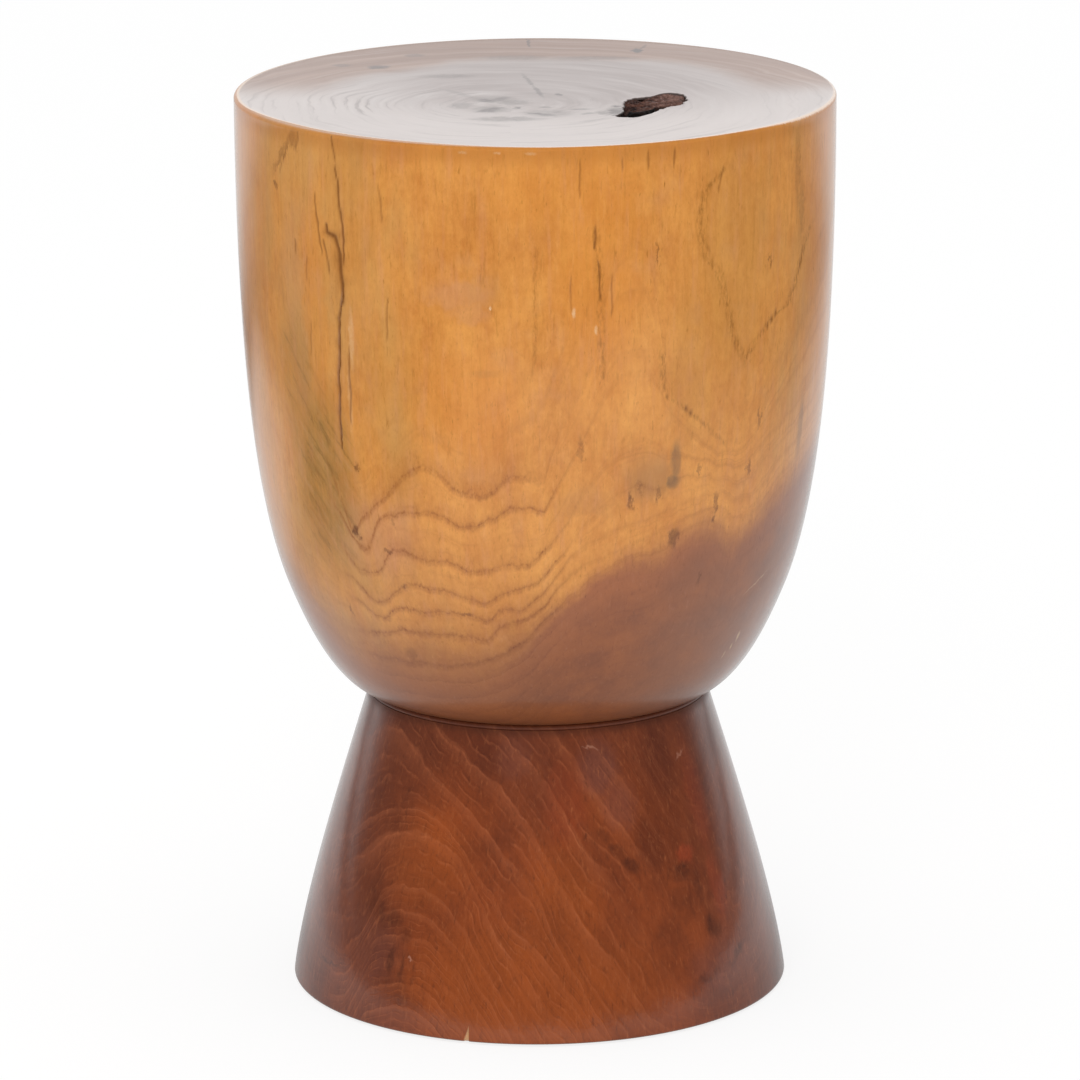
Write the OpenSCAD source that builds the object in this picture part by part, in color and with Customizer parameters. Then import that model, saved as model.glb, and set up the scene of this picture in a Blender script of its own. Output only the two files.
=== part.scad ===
// Drum stool turned from wood: a deep, round-bottomed seat block stands on a flared foot block.
// Sizes are in millimetres. +Z is up, and the origin is on the floor below the middle of the stool.
// Places round the stool are given by their bearing: 0 at the front (-Y), growing towards +X.

/* [Overall] */
// Height of the stool, from the floor to the top of the seat
stool_h = 462; // [430:1:490]
// Height of the foot block, from its bottom edge to the seam
foot_h = 155; // [130:1:170]

/* [Seat] */
// Diameter of the seat at its rim
seat_d = 302; // [285:1:325]
// Radius of the rounded edge round the top
rim_round = 2; // [0.5:0.5:6]
// Diameter of the belly, where the round underside turns into the wall
belly_d = 253; // [242:1:262]
// Height of the belly above the seam
belly_rise = 54; // [48:1:62]
// Lean of the side at the belly, in degrees from level
belly_lean = 68; // [62:1:72]
// Pull of the curve below the belly
under_pull = 22.5; // [16:0.5:30]
// Pull of the curve above the belly
side_pull = 56; // [40:1:70]
// Pull of the nearly upright wall below the rim
wall_pull = 96; // [60:1:130]
// Diameter of the seat block on the seam
waist_d = 174; // [164:1:184]
// Lean of the underside where it leaves the seam, in degrees from level
seam_lean = 14; // [10:1:28]
// Pull of the underside where it leaves the seam
seam_pull = 18.5; // [14:0.5:26]

/* [Foot] */
// Diameter of the foot block above its rounded bottom edge
base_d = 253.5; // [235:0.5:275]
// Radius of the rounded bottom edge
base_round = 1.5; // [0.5:0.5:5]
// Lean of the foot's side at the bottom, in degrees from upright
base_lean = 7.5; // [2:0.5:14]
// Pull of the foot's side at the bottom
base_pull = 40; // [25:1:55]
// Lean of the foot's side below the bead, in degrees from upright
flare_lean = 17; // [10:0.5:24]
// Pull of the foot's side below the bead
flare_pull = 48; // [30:0.5:60]
// Distance that the seat block stands out over the top of the foot's side
seam_step = 0.2; // [0:0.1:2]
// Height of the turned bead between the foot's side and the seam
bead_d = 3; // [1:0.2:4]
// Distance that the bead stands out past the top of the foot's side
bead_proud = 0.4; // [0:0.1:1]
// Diameter of the hollow in the foot's underside
relief_d = 146; // [120:1:160]
// Depth of the hollow in the foot's underside
relief_depth = 4; // [2:0.5:8]

/* [Tenon] */
// Diameter of the tenon on top of the foot
tenon_d = 70; // [50:1:90]
// Length of the tenon
tenon_l = 40; // [25:1:55]
// Gap for glue round the tenon
glue_gap = 0.2; // [0.1:0.05:0.5]
// Air left above the tenon
tenon_air = 2; // [1:0.5:5]

/* [Coach screw] */
// Diameter of the coach screw over its thread
screw_d = 12; // [8:1:14]
// Length of the coach screw below its head
screw_l = 200; // [180:5:220]
// Length of the coach screw that goes up past the seam
screw_reach = 105; // [90:1:120]
// Diameter of the core inside the thread
core_d = 9; // [6:0.5:10]
// Length of the thread, without its point
thread_l = 110; // [80:5:125]
// Rise of the thread in one turn
thread_pitch = 5; // [4:0.5:8]
// Length of the screw's point
point_l = 10; // [6:1:14]
// Size of the hexagon head across its flats
head_af = 19; // [17:0.5:24]
// Height of the hexagon head
head_h = 8; // [6:0.5:12]
// Gap between the thread and the bore that it has cut
thread_gap = 0.1; // [0.05:0.05:0.3]
// Gap between the screw and the hole through the foot
shank_gap = 0.5; // [0.25:0.25:1]

/* [Washer] */
// Outer diameter of the washer
washer_d = 30; // [26:1:34]
// Thickness of the washer
washer_t = 2.5; // [1.5:0.5:4]
// Gap between the screw and the washer's hole
washer_gap = 0.5; // [0.25:0.25:1]
// Gap between the washer and the side of the deep hole that holds it
socket_gap = 4; // [2:0.5:6]

/* [Felt pads] */
// Diameter of a felt pad
pad_d = 25; // [18:1:30]
// Thickness of a felt pad
pad_t = 3; // [2.5:0.5:5]
// Depth that a felt pad is let into the foot
pad_sink = 2; // [1:0.25:2.25]
// Gap round a felt pad in its pocket
pad_gap = 0.3; // [0.1:0.1:0.5]
// Diameter of the circle that the felt pads stand on
pad_circle_d = 196; // [190:1:200]

/* [Knot] */
// Length of the knot's pocket, along its long axis
knot_l = 64; // [55:1:75]
// Distance of the knot to the right of the middle of the seat
knot_x = 56; // [45:1:65]
// Distance of the knot in front of the middle of the seat
knot_front = 40.5; // [30:0.5:50]
// Depth of the knot's pocket
knot_depth = 14; // [10:1:20]
// Share of the pocket's width and length that the dead knot fills
knot_fill_share = 0.93; // [0.88:0.01:0.97]
// Depth of the dead knot's highest spot below the seat
knot_drop = 0.3; // [0.2:0.1:1]
// Height of the rough bumps on the dead knot
knot_bump_h = 1.6; // [0.5:0.1:2.5]
// Slope of the dead knot down towards the front edge, over its length
knot_slope_h = 2.4; // [0:0.2:3]

/* [Drying check] */
// Bearing of the long drying check in the wall
check_bearing = -40; // [-60:1:-20]
// Widest opening of the check
check_w = 1.8; // [1:0.1:3]
// Depth of the check into the wall
check_depth = 7; // [3:0.5:14]
// Length of the check
check_l = 122; // [90:1:140]
// Height of the check's lower end above the belly
check_rise = 106; // [90:1:115]

/* [Hidden] */
$fn = 128;
// Distance that a cut runs past the face it opens
over = 1;
// Steps along each curve of an outline
curve_steps = 14;
// Steps round a small rounded edge
round_steps = 6;
// Steps between two points of the knot's outline
loop_steps = 2;
// Steps round the bead
bead_steps = 32;
// Steps round the thread, and up it in one turn
thread_sides = 10;
thread_slices = 6;

pad_count = 4;
pad_first_bearing = 45;
pad_proud = pad_t - pad_sink;
seam_z = pad_proud + foot_h;
seat_r = seat_d / 2;
waist_r = waist_d / 2;
belly_z = seam_z + belly_rise;
base_r = base_d / 2;
foot_top_r = waist_r - seam_step;
bead_r = bead_d / 2;
bead_place_r = foot_top_r + bead_proud - bead_r;
// Air between the bead and the seat's underside
bead_air = 0.1;
mortise_top_z = seam_z + tenon_l + tenon_air;

// The screw stands head down: its tip is highest, and its head pulls up on the washer.
tip_z = seam_z + screw_reach;
bearing_z = tip_z - screw_l;
socket_top_z = bearing_z + washer_t;
thread_z = tip_z - point_l - thread_l;
washer_hole_d = screw_d + 2 * washer_gap;
socket_d = washer_d + 2 * socket_gap;
// The thread is a round bar that winds off its own centre.
thread_offset = (screw_d - core_d) / 4;

// The knot's outline as shares of its length, from its front end, through its right side.
knot_shape_shares = [
    [-0.25, -0.42], [-0.22, -0.48], [-0.15, -0.51], [-0.08, -0.48], [-0.02, -0.40], [0.04, -0.29],
    [0.10, -0.16], [0.15, -0.09], [0.21, -0.04], [0.26, 0.03], [0.29, 0.15], [0.30, 0.33], [0.27, 0.44],
    [0.20, 0.50], [0.11, 0.46], [0.03, 0.36], [-0.05, 0.30], [-0.11, 0.28], [-0.17, 0.14], [-0.19, -0.10],
    [-0.21, -0.32]];
knot_floor_z = stool_h - knot_depth;
// Each ring of the dead knot: its share of the pocket's outline, and its height share in the pocket.
// From the fourth ring on, the rings lie on the rough top.
knot_rings = [[0.96, 0], [1.0, 0.35], [0.98, 0.7], [0.95, 1], [0.82, 1], [0.64, 1], [0.44, 1], [0.22, 1]];
// How deep the dead knot's edge turns down where it meets the crevice
knot_edge_drop = 1.8;
// Turn of each of the two waves that make the bumps, in degrees over the knot's length, in X and Y
knot_wave_degrees = [[910, 770], [-1190, 1610]];

// Opening of the check at its ends
check_tip_w = 0.3;
// The check's centre line: sideways places, and heights as shares of its length.
check_line = [[0, 0], [0.2, 0.1], [0, 0.2], [1.2, 0.3], [1, 0.45], [0.3, 0.57], [-0.6, 0.68],
    [-4, 0.75], [-7.5, 0.81], [-10, 0.88], [-15, 0.95], [-18, 1]];

// Points on a cubic curve from a to d, with b and c as its handles.
function bezier(a, b, c, d, first = 0) =
    [for (i = [first:curve_steps]) let (t = i / curve_steps, s = 1 - t)
        s * s * s * a + 3 * s * s * t * b + 3 * s * t * t * c + t * t * t * d];

// Points on an arc round a centre, between two angles.
function arc(centre, r, from, to) =
    [for (i = [0:round_steps]) let (angle = from + (to - from) * i / round_steps)
        centre + r * [cos(angle), sin(angle)]];

// Points on a closed smooth curve through a list of points.
function smooth_loop(p) =
    let (n = len(p))
    [for (i = [0:n - 1]) for (j = [0:loop_steps - 1])
        let (a = p[(i + n - 1) % n], b = p[i], c = p[(i + 1) % n], d = p[(i + 2) % n], t = j / loop_steps)
        b + t / 2 * (c - a) + t * t * (a - 2.5 * b + 2 * c - d / 2)
            + t * t * t * (1.5 * b - a / 2 - 1.5 * c + d / 2)];

function heading(angle) = [cos(angle), sin(angle)];

// Half of the seat block's section, from the axis out along the seam and up to the top.
function seat_section() =
    let (
        seam = [waist_r, seam_z],
        belly = [belly_d / 2, belly_z],
        rim = [seat_r, stool_h - rim_round])
    concat(
        [[0, seam_z]],
        bezier(seam, seam + seam_pull * heading(seam_lean), belly - under_pull * heading(belly_lean), belly),
        bezier(belly, belly + side_pull * heading(belly_lean), rim - [0, wall_pull], rim, 1),
        arc([seat_r - rim_round, stool_h - rim_round], rim_round, 0, 90),
        [[0, stool_h]]);

// Half of the foot block's section, from the axis out along the bottom and up to the seam.
// The side ends in a small ledge below the bead, and the bead stands on the neck that is left.
function foot_section() =
    let (
        low = [base_r, pad_proud + base_round],
        high = [foot_top_r, seam_z - bead_d])
    concat(
        [[0, pad_proud]],
        arc([base_r - base_round, pad_proud + base_round], base_round, -90, 0),
        bezier(low, low + base_pull * heading(90 + base_lean),
            high - flare_pull * heading(90 + flare_lean), high, 1),
        [[bead_place_r, seam_z - bead_d], [bead_place_r, seam_z], [0, seam_z]]);

// The knot's outline in plan, at a share of its pocket's size.
function knot_outline(share) = [for (p = smooth_loop(knot_shape_shares)) p * knot_l * share];

// Height of the dead knot's rough top at a point of its plan: it falls to the front, and has low bumps.
function knot_top(p, edge) =
    stool_h - knot_drop - knot_bump_h - edge * knot_edge_drop
        - knot_slope_h * (0.5 - p[1] / knot_l)
        + knot_bump_h * (sin(knot_wave_degrees[0] * p / knot_l) + sin(knot_wave_degrees[1] * p / knot_l)) / 2;

module at_bearing(bearing) {
    rotate([0, 0, bearing]) children();
}

module at_knot() {
    translate([knot_x, -knot_front, 0]) children();
}

// The drying check: a thin upright slot, widest in the middle, cut straight in from the wall.
module drying_check() {
    last = len(check_line) - 1;
    half = [for (i = [0:last]) max(check_tip_w / 2, check_w / 2 * sin(180 * i / last))];
    low_z = belly_z + check_rise;
    line = [for (p = check_line) [p[0], low_z + p[1] * check_l]];
    sides = concat(
        [for (i = [0:last]) line[i] + [half[i], 0]],
        [for (i = [last:-1:0]) line[i] - [half[i], 0]]);
    at_bearing(check_bearing)
        translate([0, over - seat_r, 0])
            rotate([-90, 0, 0])
                mirror([0, 1, 0])
                    translate([0, 0, -2 * over])
                        linear_extrude(check_depth + 2 * over)
                            polygon(sides);
}

module seat_drum() {
    color("#cd8741")
        difference() {
            rotate_extrude() polygon(seat_section());
            translate([0, 0, seam_z - over])
                cylinder(d = tenon_d + 2 * glue_gap, h = mortise_top_z - seam_z + over);
            translate([0, 0, seam_z])
                cylinder(d = screw_d + 2 * thread_gap, h = tip_z - seam_z + over);
            at_knot()
                translate([0, 0, knot_floor_z])
                    linear_extrude(knot_depth + over)
                        polygon(knot_outline(1));
            drying_check();
        }
}

module foot() {
    color("#82411f")
        difference() {
            union() {
                rotate_extrude() polygon(foot_section());
                rotate_extrude()
                    translate([bead_place_r, seam_z - bead_r - bead_air])
                        circle(r = bead_r, $fn = bead_steps);
                translate([0, 0, seam_z - over])
                    cylinder(d = tenon_d, h = tenon_l + over);
            }
            translate([0, 0, pad_proud - over])
                cylinder(d = relief_d, h = relief_depth + over);
            translate([0, 0, pad_proud])
                cylinder(d = socket_d, h = socket_top_z - pad_proud);
            translate([0, 0, socket_top_z - over])
                cylinder(d = screw_d + 2 * shank_gap, h = seam_z + tenon_l - socket_top_z + 2 * over);
            for (i = [1:pad_count])
                at_pad(i)
                    translate([0, 0, pad_proud - over])
                        cylinder(d = pad_d + 2 * pad_gap, h = pad_sink + over);
        }
}

// The dead knot: a loose lump of bark and dark wood, flat below and rough on top.
module dead_knot() {
    outline = knot_outline(knot_fill_share);
    sides = len(outline);
    rings = len(knot_rings);
    wall = 3;
    points = concat(
        [for (k = [0:rings - 1]) for (p = outline)
            let (share = knot_rings[k][0], q = p * share)
            [q[0], q[1], k < wall
                ? knot_floor_z + knot_rings[k][1] * (knot_depth - knot_drop - knot_edge_drop - 2 * knot_bump_h
                    - knot_slope_h)
                : knot_top(q, k == wall ? 1 : 0)]],
        [[0, 0, knot_floor_z]],
        [[0, 0, knot_top([0, 0], 0)]]);
    floor_point = rings * sides;
    top_point = floor_point + 1;
    faces = concat(
        [for (i = [0:sides - 1]) [floor_point, i, (i + 1) % sides]],
        [for (k = [0:rings - 2]) for (i = [0:sides - 1]) let (j = (i + 1) % sides)
            each [[k * sides + i, (k + 1) * sides + i, (k + 1) * sides + j],
                [k * sides + i, (k + 1) * sides + j, k * sides + j]]],
        [for (i = [0:sides - 1]) let (j = (i + 1) % sides)
            [top_point, (rings - 1) * sides + j, (rings - 1) * sides + i]]);
    color("#4a2c22")
        at_knot()
            polyhedron(points, faces, convexity = 4);
}

module coach_screw() {
    color("#b4b6b8")
        union() {
            translate([0, 0, bearing_z - head_h])
                cylinder(d = head_af / cos(30), h = head_h, $fn = 6);
            translate([0, 0, bearing_z - over])
                cylinder(d = screw_d, h = thread_z - bearing_z + over);
            translate([0, 0, thread_z - over])
                linear_extrude(thread_l + over, twist = -360 * (thread_l + over) / thread_pitch,
                        slices = ceil(thread_slices * (thread_l + over) / thread_pitch), $fn = thread_sides)
                    translate([thread_offset, 0])
                        circle(r = screw_d / 2 - thread_offset);
            translate([0, 0, tip_z - point_l - over])
                cylinder(d = core_d, h = over);
            translate([0, 0, tip_z - point_l])
                cylinder(d1 = core_d, d2 = 0, h = point_l);
        }
}

module washer() {
    color("#b4b6b8")
        translate([0, 0, bearing_z])
            difference() {
                cylinder(d = washer_d, h = washer_t);
                translate([0, 0, -over])
                    cylinder(d = washer_hole_d, h = washer_t + 2 * over);
            }
}

module at_pad(i) {
    at_bearing(pad_first_bearing + 360 / pad_count * (i - 1))
        translate([0, -pad_circle_d / 2, 0])
            children();
}

module felt_pad(i) {
    color("#6e6a64")
        at_pad(i)
            cylinder(d = pad_d, h = pad_t);
}

seat_drum();
foot();
dead_knot();
coach_screw();
washer();
felt_pad(1);  // felt_pad_1
felt_pad(2);  // felt_pad_2
felt_pad(3);  // felt_pad_3
felt_pad(4);  // felt_pad_4
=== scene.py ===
"""Drum stool: detailed pieces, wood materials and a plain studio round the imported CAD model.

Shapes are worked out in millimetres in the frame's own axes: Z is up, the front is -Y, and the
middle of the stool is the origin. A bearing is an angle round the stool, in degrees: 0 at the
front, growing towards +X. Meshes are stored in metres.
"""
import math

import bmesh
import bpy
import numpy as np
from mathutils import Matrix, Vector, noise


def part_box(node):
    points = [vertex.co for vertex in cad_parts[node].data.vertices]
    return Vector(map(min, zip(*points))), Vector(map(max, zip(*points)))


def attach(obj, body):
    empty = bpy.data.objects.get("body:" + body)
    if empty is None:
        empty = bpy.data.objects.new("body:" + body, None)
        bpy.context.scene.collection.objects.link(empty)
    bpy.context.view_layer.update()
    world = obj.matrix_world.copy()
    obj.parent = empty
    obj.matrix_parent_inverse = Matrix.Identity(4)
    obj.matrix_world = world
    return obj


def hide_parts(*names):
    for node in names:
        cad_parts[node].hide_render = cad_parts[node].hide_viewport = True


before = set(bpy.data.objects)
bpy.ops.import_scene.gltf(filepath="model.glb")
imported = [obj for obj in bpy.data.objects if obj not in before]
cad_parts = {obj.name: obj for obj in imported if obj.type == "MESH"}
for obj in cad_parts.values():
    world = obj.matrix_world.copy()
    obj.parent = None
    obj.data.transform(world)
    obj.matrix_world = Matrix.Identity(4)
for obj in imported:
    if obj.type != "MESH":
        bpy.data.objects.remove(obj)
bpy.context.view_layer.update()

MM = 0.001


def box_mm(node):
    """Lowest and highest corner of a CAD node, in millimetres."""
    low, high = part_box(node)
    return np.array(low) / MM, np.array(high) / MM


# Overall sizes, from the frame.
SEAT_LOW, SEAT_HIGH = box_mm("seat_drum")
FOOT_LOW, FOOT_HIGH = box_mm("foot")
WASHER_TOP = box_mm("washer")[1][2]
STOOL_H = SEAT_HIGH[2]
SEAT_R = SEAT_HIGH[0]
SEAM_Z = SEAT_LOW[2]
FOOT_Z = FOOT_LOW[2]
BASE_R = FOOT_HIGH[0]
TENON_TOP = FOOT_HIGH[2]

# Shapes that the frame's boxes don't give, as in the CAD model.
RIM_ROUND = 2.0
BELLY = np.array([126.5, SEAM_Z + 54])
BELLY_LEAN, SIDE_PULL, UNDER_PULL, WALL_PULL = 68, 56, 22.5, 96
WAIST_R, SEAM_LEAN, SEAM_PULL = 87.0, 14, 18.5
SEAM_ROUND = 0.5
BASE_ROUND, BASE_LEAN, BASE_PULL = 1.5, 7.5, 40
SEAM_STEP, FLARE_LEAN, FLARE_PULL = 0.2, 17, 48
BEAD_R, BEAD_AIR, BEAD_PROUD = 1.5, 0.1, 0.4
NECK_R = WAIST_R - SEAM_STEP + BEAD_PROUD - BEAD_R
TENON_R, GLUE_GAP, TENON_AIR = 35.0, 0.2, 2.0
BORE_R, BORE_TOP = 6.1, SEAM_Z + 106
HOLE_R, SOCKET_R, SOCKET_TOP = 6.5, 19.0, WASHER_TOP
RELIEF_R, RELIEF_DEPTH = 73.0, 4.0
PAD_GAP, PAD_ROUND = 0.3, 0.7
KNOT_L, KNOT_DEPTH, KNOT_FILL = 64.0, 14.0, 0.985
KNOT_AT = np.array([56.0, -40.5])
KNOT_NOTCH, KNOT_HOLE = (53.0, -24.0), (75.0, -23.0)

# The knot's outline as shares of its length, from its front end, through its right side.
KNOT_SHAPE = [
    (-0.25, -0.42), (-0.22, -0.48), (-0.15, -0.51), (-0.08, -0.48), (-0.02, -0.40), (0.04, -0.29),
    (0.10, -0.16), (0.15, -0.09), (0.21, -0.04), (0.26, 0.03), (0.29, 0.15), (0.30, 0.33), (0.27, 0.44),
    (0.20, 0.50), (0.11, 0.46), (0.03, 0.36), (-0.05, 0.30), (-0.11, 0.28), (-0.17, 0.14), (-0.19, -0.10),
    (-0.21, -0.32)]

# Cracks and dark flecks in the seat's wall: width, depth, darkness, and points (bearing, height).
SEAT_STROKES = [
    (3.6, 0.8, 0.95, [(-42.7, 417), (-42.4, 413), (-40.5, 411.5), (-39.6, 406), (-39.4, 398),
                      (-39.0, 390), (-38.9, 380)]),
    (2.0, 1.6, 0.95, [(-39.0, 386), (-39.5, 375), (-40.1, 371), (-40.2, 356), (-40.8, 342), (-40.9, 329),
                      (-41.2, 318), (-41.0, 306)]),
    (1.5, 0.6, 0.85, [(-40.1, 445), (-39.5, 440), (-39.5, 432), (-38.9, 423), (-38.3, 410),
                      (-38.5, 400)]),
    (0.8, 0.4, 0.6, [(-40.9, 461), (-40.1, 449)]),
    (1.1, 0.4, 0.65, [(-45.5, 431), (-45.2, 421), (-44.3, 408), (-43.9, 403)]),
    (1.1, 0.4, 0.65, [(-43.4, 409), (-42.2, 396), (-41.9, 392)]),
    (1.2, 0.4, 0.6, [(-37.8, 356), (-38.1, 348), (-38.0, 333), (-38.4, 319)]),
    (1.3, 0.3, 0.5, [(-51.5, 406), (-51.6, 399)]),
    (0.8, 0.3, 0.4, [(-48.2, 398), (-48.4, 387)]),
    (0.8, 0.3, 0.5, [(-53.3, 452), (-54.9, 444), (-56.2, 438)]),
    (1.2, 0.3, 0.5, [(-50.1, 460), (-49.9, 455)]),
    (0.9, 0.3, 0.45, [(-30.3, 439), (-29.8, 432), (-29.5, 424)]),
    (0.9, 0.3, 0.45, [(-28.8, 385), (-28.9, 374), (-29.1, 363)]),
    (0.7, 0.3, 0.4, [(-47.6, 367), (-48.1, 349)]),
    (0.7, 0.3, 0.5, [(8.1, 455), (8.1, 439)]),
    (1.1, 0.4, 0.7, [(11.0, 422), (10.8, 412)]),
    (0.8, 0.4, 0.7, [(11.5, 406), (12.0, 387)]),
    (0.6, 0.3, 0.5, [(14.1, 398), (14.1, 379)]),
    (0.6, 0.3, 0.4, [(6.4, 398), (6.4, 382)]),
    (0.6, 0.3, 0.5, [(16.0, 456), (16.0, 450)]),
    (0.9, 0.3, 0.6, [(21.1, 457), (21.0, 449)]),
    (1.0, 0.3, 0.6, [(26.5, 458), (26.1, 450)]),
    (0.8, 0.3, 0.5, [(37.2, 446), (35.8, 435)]),
    (1.4, 0.4, 0.8, [(51.9, 368), (49.4, 362)]),
    (1.0, 0.4, 0.7, [(60.8, 392), (59.6, 386)]),
    (1.1, 0.4, 0.7, [(29.4, 328.5), (31.2, 324.5)]),
]
CRACK_BEARINGS = (-47, -37.5)
CRACK_HEIGHTS = (402, 420)
# A chip out of the foot's bottom edge.
CHIP_BEARING, CHIP_W, CHIP_H, CHIP_DEPTH = -17.0, 3.4, 9.0, 1.0

# Steps between a mesh's bearings, in degrees: in most places, at the long crack, at a fleck and at the
# chip, and how far the fine steps reach past a fleck and beside the chip.
COARSE_STEP, CRACK_STEP, FLECK_STEP, CHIP_STEP = 1.05, 0.12, 0.13, 0.15
FLECK_SIDE, CHIP_SIDE = 0.45, 1.6
# Steps up a wall, in millimetres: under the belly, in most places and where the wall is cut finely.
BELLY_STEP, WALL_STEP, FINE_STEP = 2.2, 2.6, 0.7
# Rings from the top's edge to the knot, and the flat band that they leave round its lip.
TOP_RINGS, LIP_WIDTH = 46, 1.6


# Points and rings

def heading(degrees):
    """A direction as an angle's cosine and sine."""
    return np.array([math.cos(math.radians(degrees)), math.sin(math.radians(degrees))])


def bezier(a, b, c, d, spacing):
    """Points on a cubic curve from a to d, about so far apart, with b and c as its handles."""
    steps = max(2, round(float(np.linalg.norm(d - a)) / spacing))
    t = np.linspace(0, 1, steps + 1)[:, None]
    s = 1 - t
    return s ** 3 * a + 3 * s * s * t * b + 3 * s * t * t * c + t ** 3 * d


def arc(centre, radius, start, end, steps):
    """Points on an arc round a centre, between two angles."""
    angles = np.radians(np.linspace(start, end, steps + 1))
    return np.array(centre) + radius * np.stack([np.cos(angles), np.sin(angles)], axis=1)


def line(start, end, spacing):
    """Points on a straight line, about so far apart."""
    start, end = np.array(start, float), np.array(end, float)
    steps = max(1, round(float(np.linalg.norm(end - start)) / spacing))
    return start + (end - start) * np.linspace(0, 1, steps + 1)[:, None]


def chain(*parts):
    """One outline out of several, without the points that two of them share."""
    points = [np.array(p, float) for part in parts for p in part]
    kept = [points[0]]
    for p in points[1:]:
        if np.linalg.norm(p - kept[-1]) > 1e-6:
            kept.append(p)
    return np.array(kept)


def denser(profile, low, high, spacing):
    """The profile with extra points where its height is between two values."""
    out = [profile[0]]
    for a, b in zip(profile[:-1], profile[1:]):
        middle = (a[1] + b[1]) / 2
        steps = max(1, round(np.linalg.norm(b - a) / spacing)) if low < middle < high else 1
        out += [a + (b - a) * (i + 1) / steps for i in range(steps)]
    return np.array(out)


def columns(coarse, zones):
    """Bearings round the stool, closer together in each zone (from, to, step)."""
    out, bearing = [], -180.0
    while bearing < 180 - 1e-6:
        out.append(bearing)
        steps = [step for start, end, step in zones if start <= bearing < end]
        ahead = [start for start, end, step in zones if start > bearing]
        step = min(steps) if steps else min([coarse] + [max(0.05, start - bearing) for start in ahead])
        bearing += step
    return np.array(out)


def ring(radius, z, bearings):
    """A ring of points at a height, with one radius or one for each bearing."""
    a = np.radians(bearings)
    r = np.broadcast_to(radius, a.shape)
    return np.stack([r * np.sin(a), -r * np.cos(a), np.broadcast_to(z, a.shape)], axis=1)


def smooth_loop(points, steps=12):
    """Points on a closed smooth curve through a list of points."""
    p = np.array(points)
    a, b, c, d = np.roll(p, 1, 0), p, np.roll(p, -1, 0), np.roll(p, -2, 0)
    out = [b + t / 2 * (c - a) + t * t * (a - 2.5 * b + 2 * c - d / 2)
           + t ** 3 * (1.5 * b - a / 2 - 1.5 * c + d / 2) for t in np.arange(steps) / steps]
    return np.stack(out, axis=1).reshape(-1, 2)


class Skin:
    """A mesh in the making: rings of points, joined in order, with a darkness and a paleness each."""

    def __init__(self):
        self.points, self.faces, self.dark, self.pale = [], [], [], []

    def add(self, points, dark=0.0, pale=0.0):
        """Adds points and gives back their numbers."""
        first = len(self.points)
        self.points.extend(map(tuple, points))
        self.dark.extend(np.broadcast_to(dark, len(points)))
        self.pale.extend(np.broadcast_to(pale, len(points)))
        return list(range(first, len(self.points)))

    def join(self, a, b):
        """Joins two rings of the same size with quads."""
        self.faces += [(a[i - 1], a[i], b[i], b[i - 1]) for i in range(len(a))]

    def rings(self, rings, darks=None, pales=None):
        """Adds rings and joins each to the next."""
        numbers = [self.add(r, 0.0 if darks is None else darks[k], 0.0 if pales is None else pales[k])
                   for k, r in enumerate(rings)]
        for a, b in zip(numbers[:-1], numbers[1:]):
            self.join(a, b)
        return numbers

    def cap(self, ring_numbers, centre, dark=0.0):
        """Closes a ring with a fan of triangles."""
        middle, = self.add([centre], dark)
        self.faces += [(ring_numbers[i - 1], ring_numbers[i], middle) for i in range(len(ring_numbers))]

    def build(self, name, fill_loops=(), sharp=40):
        """The object, with its loops filled, its faces turned outwards and its bent edges sharp."""
        mesh = bpy.data.meshes.new(name)
        mesh.from_pydata([tuple(np.array(p) * MM) for p in self.points], [], self.faces)
        for kind, values in (("dark", self.dark), ("pale", self.pale)):
            stored = mesh.attributes.new(kind, "FLOAT", "POINT").data
            stored.foreach_set("value", np.array(values, np.float32))
        bm = bmesh.new()
        bm.from_mesh(mesh)
        bm.verts.ensure_lookup_table()
        if fill_loops:
            edges = []
            for loop in fill_loops:
                for i in range(len(loop)):
                    pair = (bm.verts[loop[i - 1]], bm.verts[loop[i]])
                    edges.append(bm.edges.get(pair) or bm.edges.new(pair))
            bmesh.ops.triangle_fill(bm, edges=edges, use_beauty=True, use_dissolve=False)
        bmesh.ops.recalc_face_normals(bm, faces=bm.faces)
        bm.to_mesh(mesh)
        bm.free()
        mesh.shade_smooth()
        mesh.set_sharp_from_angle(angle=math.radians(sharp))
        obj = bpy.data.objects.new(name, mesh)
        bpy.context.scene.collection.objects.link(obj)
        return obj


# Cracks and flecks

def stroke_distance(across, up, points):
    """Distance to a line of points, and how far along it the nearest spot is, from 0 to 1."""
    lengths = np.linalg.norm(np.diff(points, axis=0), axis=1)
    starts = np.concatenate([[0], np.cumsum(lengths)])
    best, along = np.full(across.shape, 1e9), np.zeros(across.shape)
    for k, (a, b) in enumerate(zip(points[:-1], points[1:])):
        share = ((across - a[0]) * (b - a)[0] + (up - a[1]) * (b - a)[1]) / lengths[k] ** 2
        share = np.clip(share, 0, 1)
        d = np.hypot(across - a[0] - share * (b - a)[0], up - a[1] - share * (b - a)[1])
        along = np.where(d < best, (starts[k] + share * lengths[k]) / starts[-1], along)
        best = np.minimum(best, d)
    return best, along


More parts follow.
